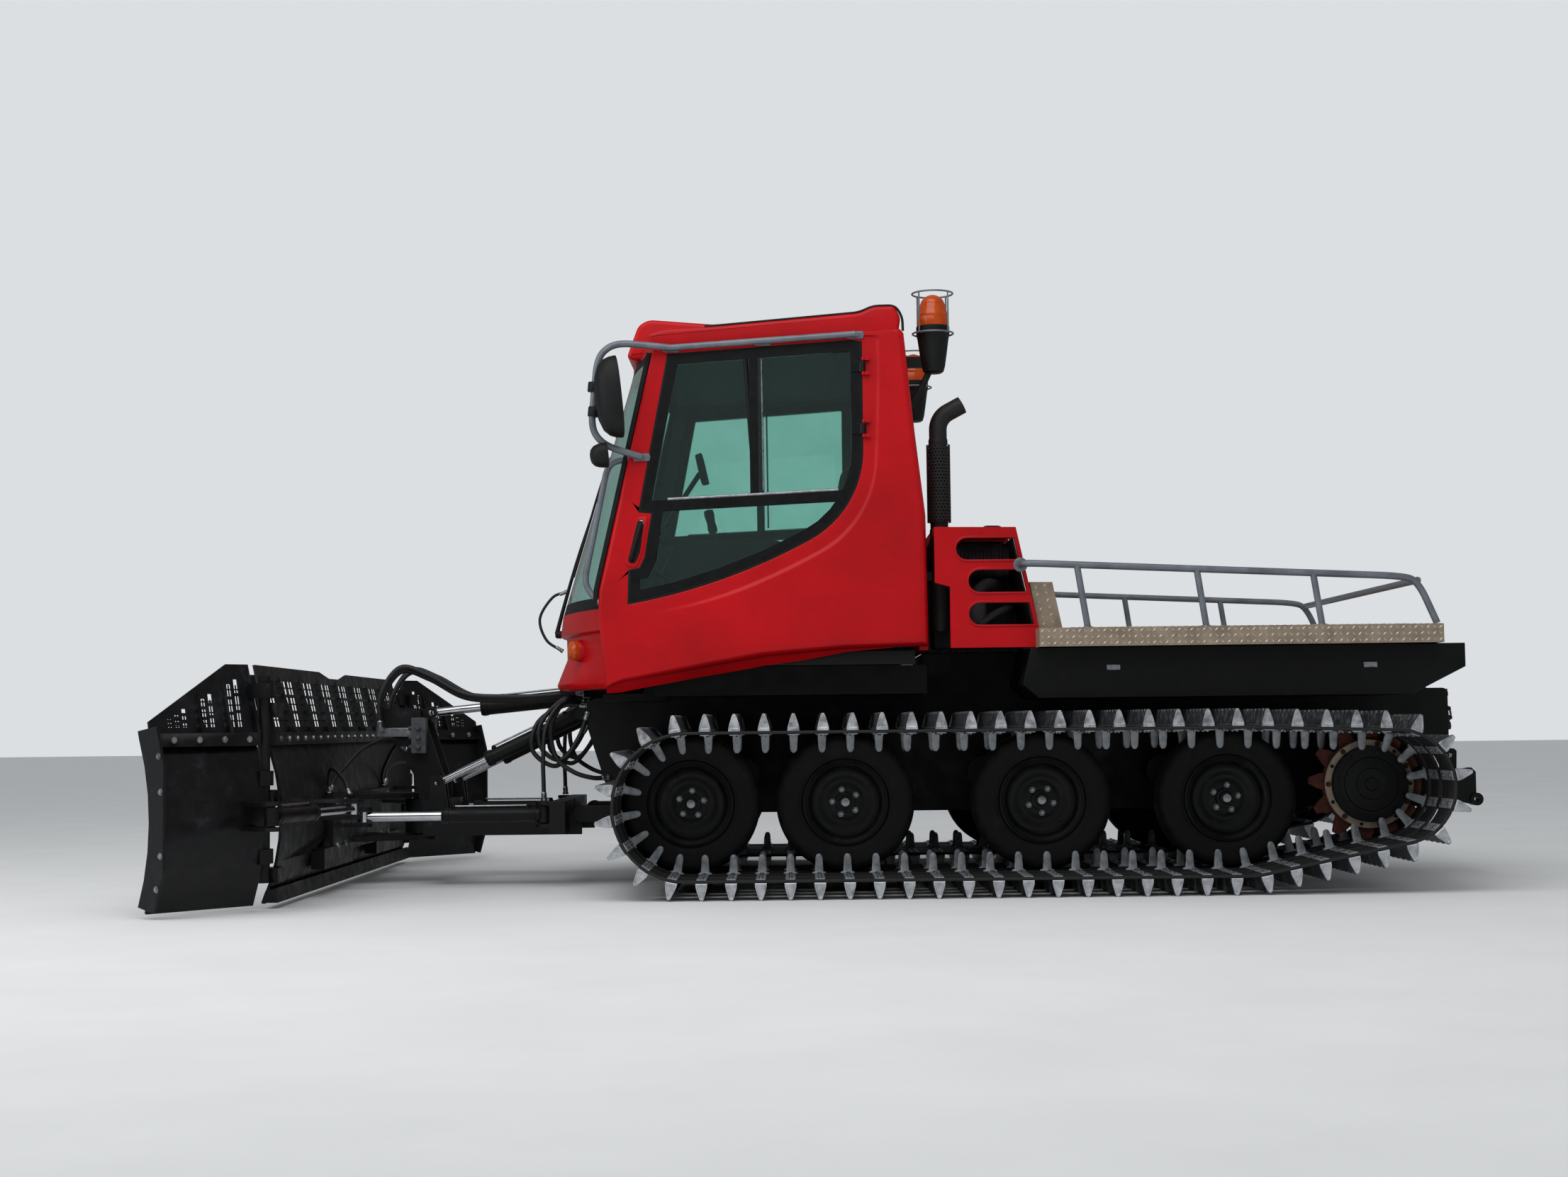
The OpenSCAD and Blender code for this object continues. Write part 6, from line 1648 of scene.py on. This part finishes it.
ring_profile = [(0.150, 0.0), (0.196, 0.0), (0.196, 0.006), (0.193, 0.009), (0.168, 0.009), (0.166, 0.004),
                (0.150, 0.004)]
ring = spun(ring_profile, (sprocket[0], 0.9375, sprocket[1]), (0, 1, 0), 64)
on_ring = about_sprocket(0.181, 0.9465, np.arange(14) * 2 * pi / 14)
# Black discs 1.2 mm thick on the ring's face stand for its holes. Their black is painted shade, and the ring
# itself is not pierced
hole = [(0, 0), (0.0085, 0), (0.0085, 0.0012), (0, 0.0012)]
hole_shade_discs = [spun(hole, at, (0, 1, 0), 16) for at in on_ring[1::2]]
ring_bolts = [hex_head(at, (0, 1, 0), 0.009) for at in on_ring[::2]]
drum = spun([(0, 0.92), (0.162, 0.92), (0.166, 0.930), (0.166, 0.968), (0.160, 0.977), (0.120, 0.9785),
             (0.116, 0.984), (0.070, 0.988), (0.066, 0.984), (0.030, 0.984), (0.026, 0.990), (0, 0.991)],
            (sprocket[0], 0, sprocket[1]), (0, 1, 0), 64)
drum_bolts = [hex_head(at, (0, 1, 0), 0.009)
              for at in about_sprocket(0.140, 0.978, np.arange(8) * pi / 4 + 0.2)]
pair("sprocket_rings", [ring], ring_steel, crease=35)
pair("sprocket_hole_shade", hole_shade_discs, trim_black, crease=35)
pair("sprocket_bolts", ring_bolts, rust, crease=30)
pair("drum_bolts", drum_bolts, rim_black, crease=30)
pair("drum_covers", [drum], rim_black, crease=30)

# %% Hub caps, tyre valves and the side boxes
cap = [(0, 0.060), (0.021, 0.060), (0.021, 0.066), (0.018, 0.070), (0.008, 0.0715), (0, 0.072)]
caps = [spun(cap, (c[0], tyre_y, c[1]), (0, 1, 0), 24) for c in axles]
pair("hub_caps", caps, worn_steel, crease=40)
stems, stem_r, stem_y = [], np.array([0.128, 0.129, 0.130]), tyre_y + np.array([0.032, 0.044, 0.058])
for c, a in zip(axles, (1.1, 2.6, 4.0, 5.2)):
    line = np.stack([c[0] + stem_r * math.cos(a), stem_y, c[1] + stem_r * math.sin(a)], 1)
    stems.append(piped(line, 0.004, 8))
pair("tyre_valves", stems, trim_black, crease=40)
for node in ("chassis_frame", "side_boxes", "wheel_arms"):
    softened(node, node + "_weldment", frame_black, 0.003, 2)
side_seams = [block((x - 0.0012, 0.9995, 0.846), (x + 0.0012, 1.0008, 1.058)) for x in (-1.35, -1.98)]
latch = [block((x, 0.9995, 0.960), (x + 0.060, 1.007, 0.985)) for x in (-2.250, -1.120)]
pair("box_latches", latch, worn_steel, crease=20, edge=0.002)
pair("box_seams", side_seams, trim_black, crease=20)

# %% [markdown]
# ## Floor and light
# A pale floor and a broad soft light from above and in front, as under a cloudy sky.

# %% Floor
floor_mat = clouded("pale_floor", 1.5, [(0.3, "#dcdddd"), (0.7, "#e2e3e3")], Roughness=0.9)
floor_mesh = bpy.data.meshes.new("floor")
reach = 60.0
corners = [(-reach, -reach, 0), (reach, -reach, 0), (reach, reach, 0), (-reach, reach, 0)]
floor_mesh.from_pydata(corners, [], [(0, 1, 2, 3)])
floor_mesh.materials.append(floor_mat)
floor = bpy.data.objects.new("floor", floor_mesh)
bpy.context.scene.collection.objects.link(floor)
print("floor's half side in metres:", reach)

# %% Sky and lamps
daylight, backdrop, shine_level = 0.62, 1.0, 0.2
world = bpy.data.worlds.new("sky")
bpy.context.scene.world = world
world.use_nodes = True
tree = world.node_tree
tree.nodes.clear()
path = add(tree, "LightPath")
rays = {0: path.outputs["Is Camera Ray"], 1: path.outputs["Is Transmission Ray"]}
seen = add(tree, "Math", rays, operation="MAXIMUM")
glow = add(tree, "Background", {"Color": linear("#eef1f4"), "Strength": daylight})
back = add(tree, "Background", {"Color": linear("#dcdfe2"), "Strength": backdrop})
shine = add(tree, "Background", {"Color": linear("#eef1f4"), "Strength": shine_level})
lit = add(tree, "MixShader", {"Fac": path.outputs["Is Glossy Ray"], 1: glow.outputs[0], 2: shine.outputs[0]})
mix = add(tree, "MixShader", {"Fac": seen.outputs[0], 1: lit.outputs[0], 2: back.outputs[0]})
add(tree, "OutputWorld", {"Surface": mix.outputs[0]})


def lamp(name, place, target, size, power):
    """A square area lamp at a place, turned towards a target."""
    light = bpy.data.lights.new(name, "AREA")
    light.size, light.energy = size, power
    lamp_object = bpy.data.objects.new(name, light)
    lamp_object.rotation_euler = (Vector(target) - Vector(place)).to_track_quat("-Z", "Y").to_euler()
    lamp_object.location = place
    bpy.context.scene.collection.objects.link(lamp_object)


lamp("sky_panel", (1.5, 5.0, 7.5), (0, 0, 1), 7.0, 330)
lamp("front_panel", (7.0, 4.0, 4.0), (0.5, 0, 1), 4.0, 110)
print("lamps:", len(bpy.data.lights))
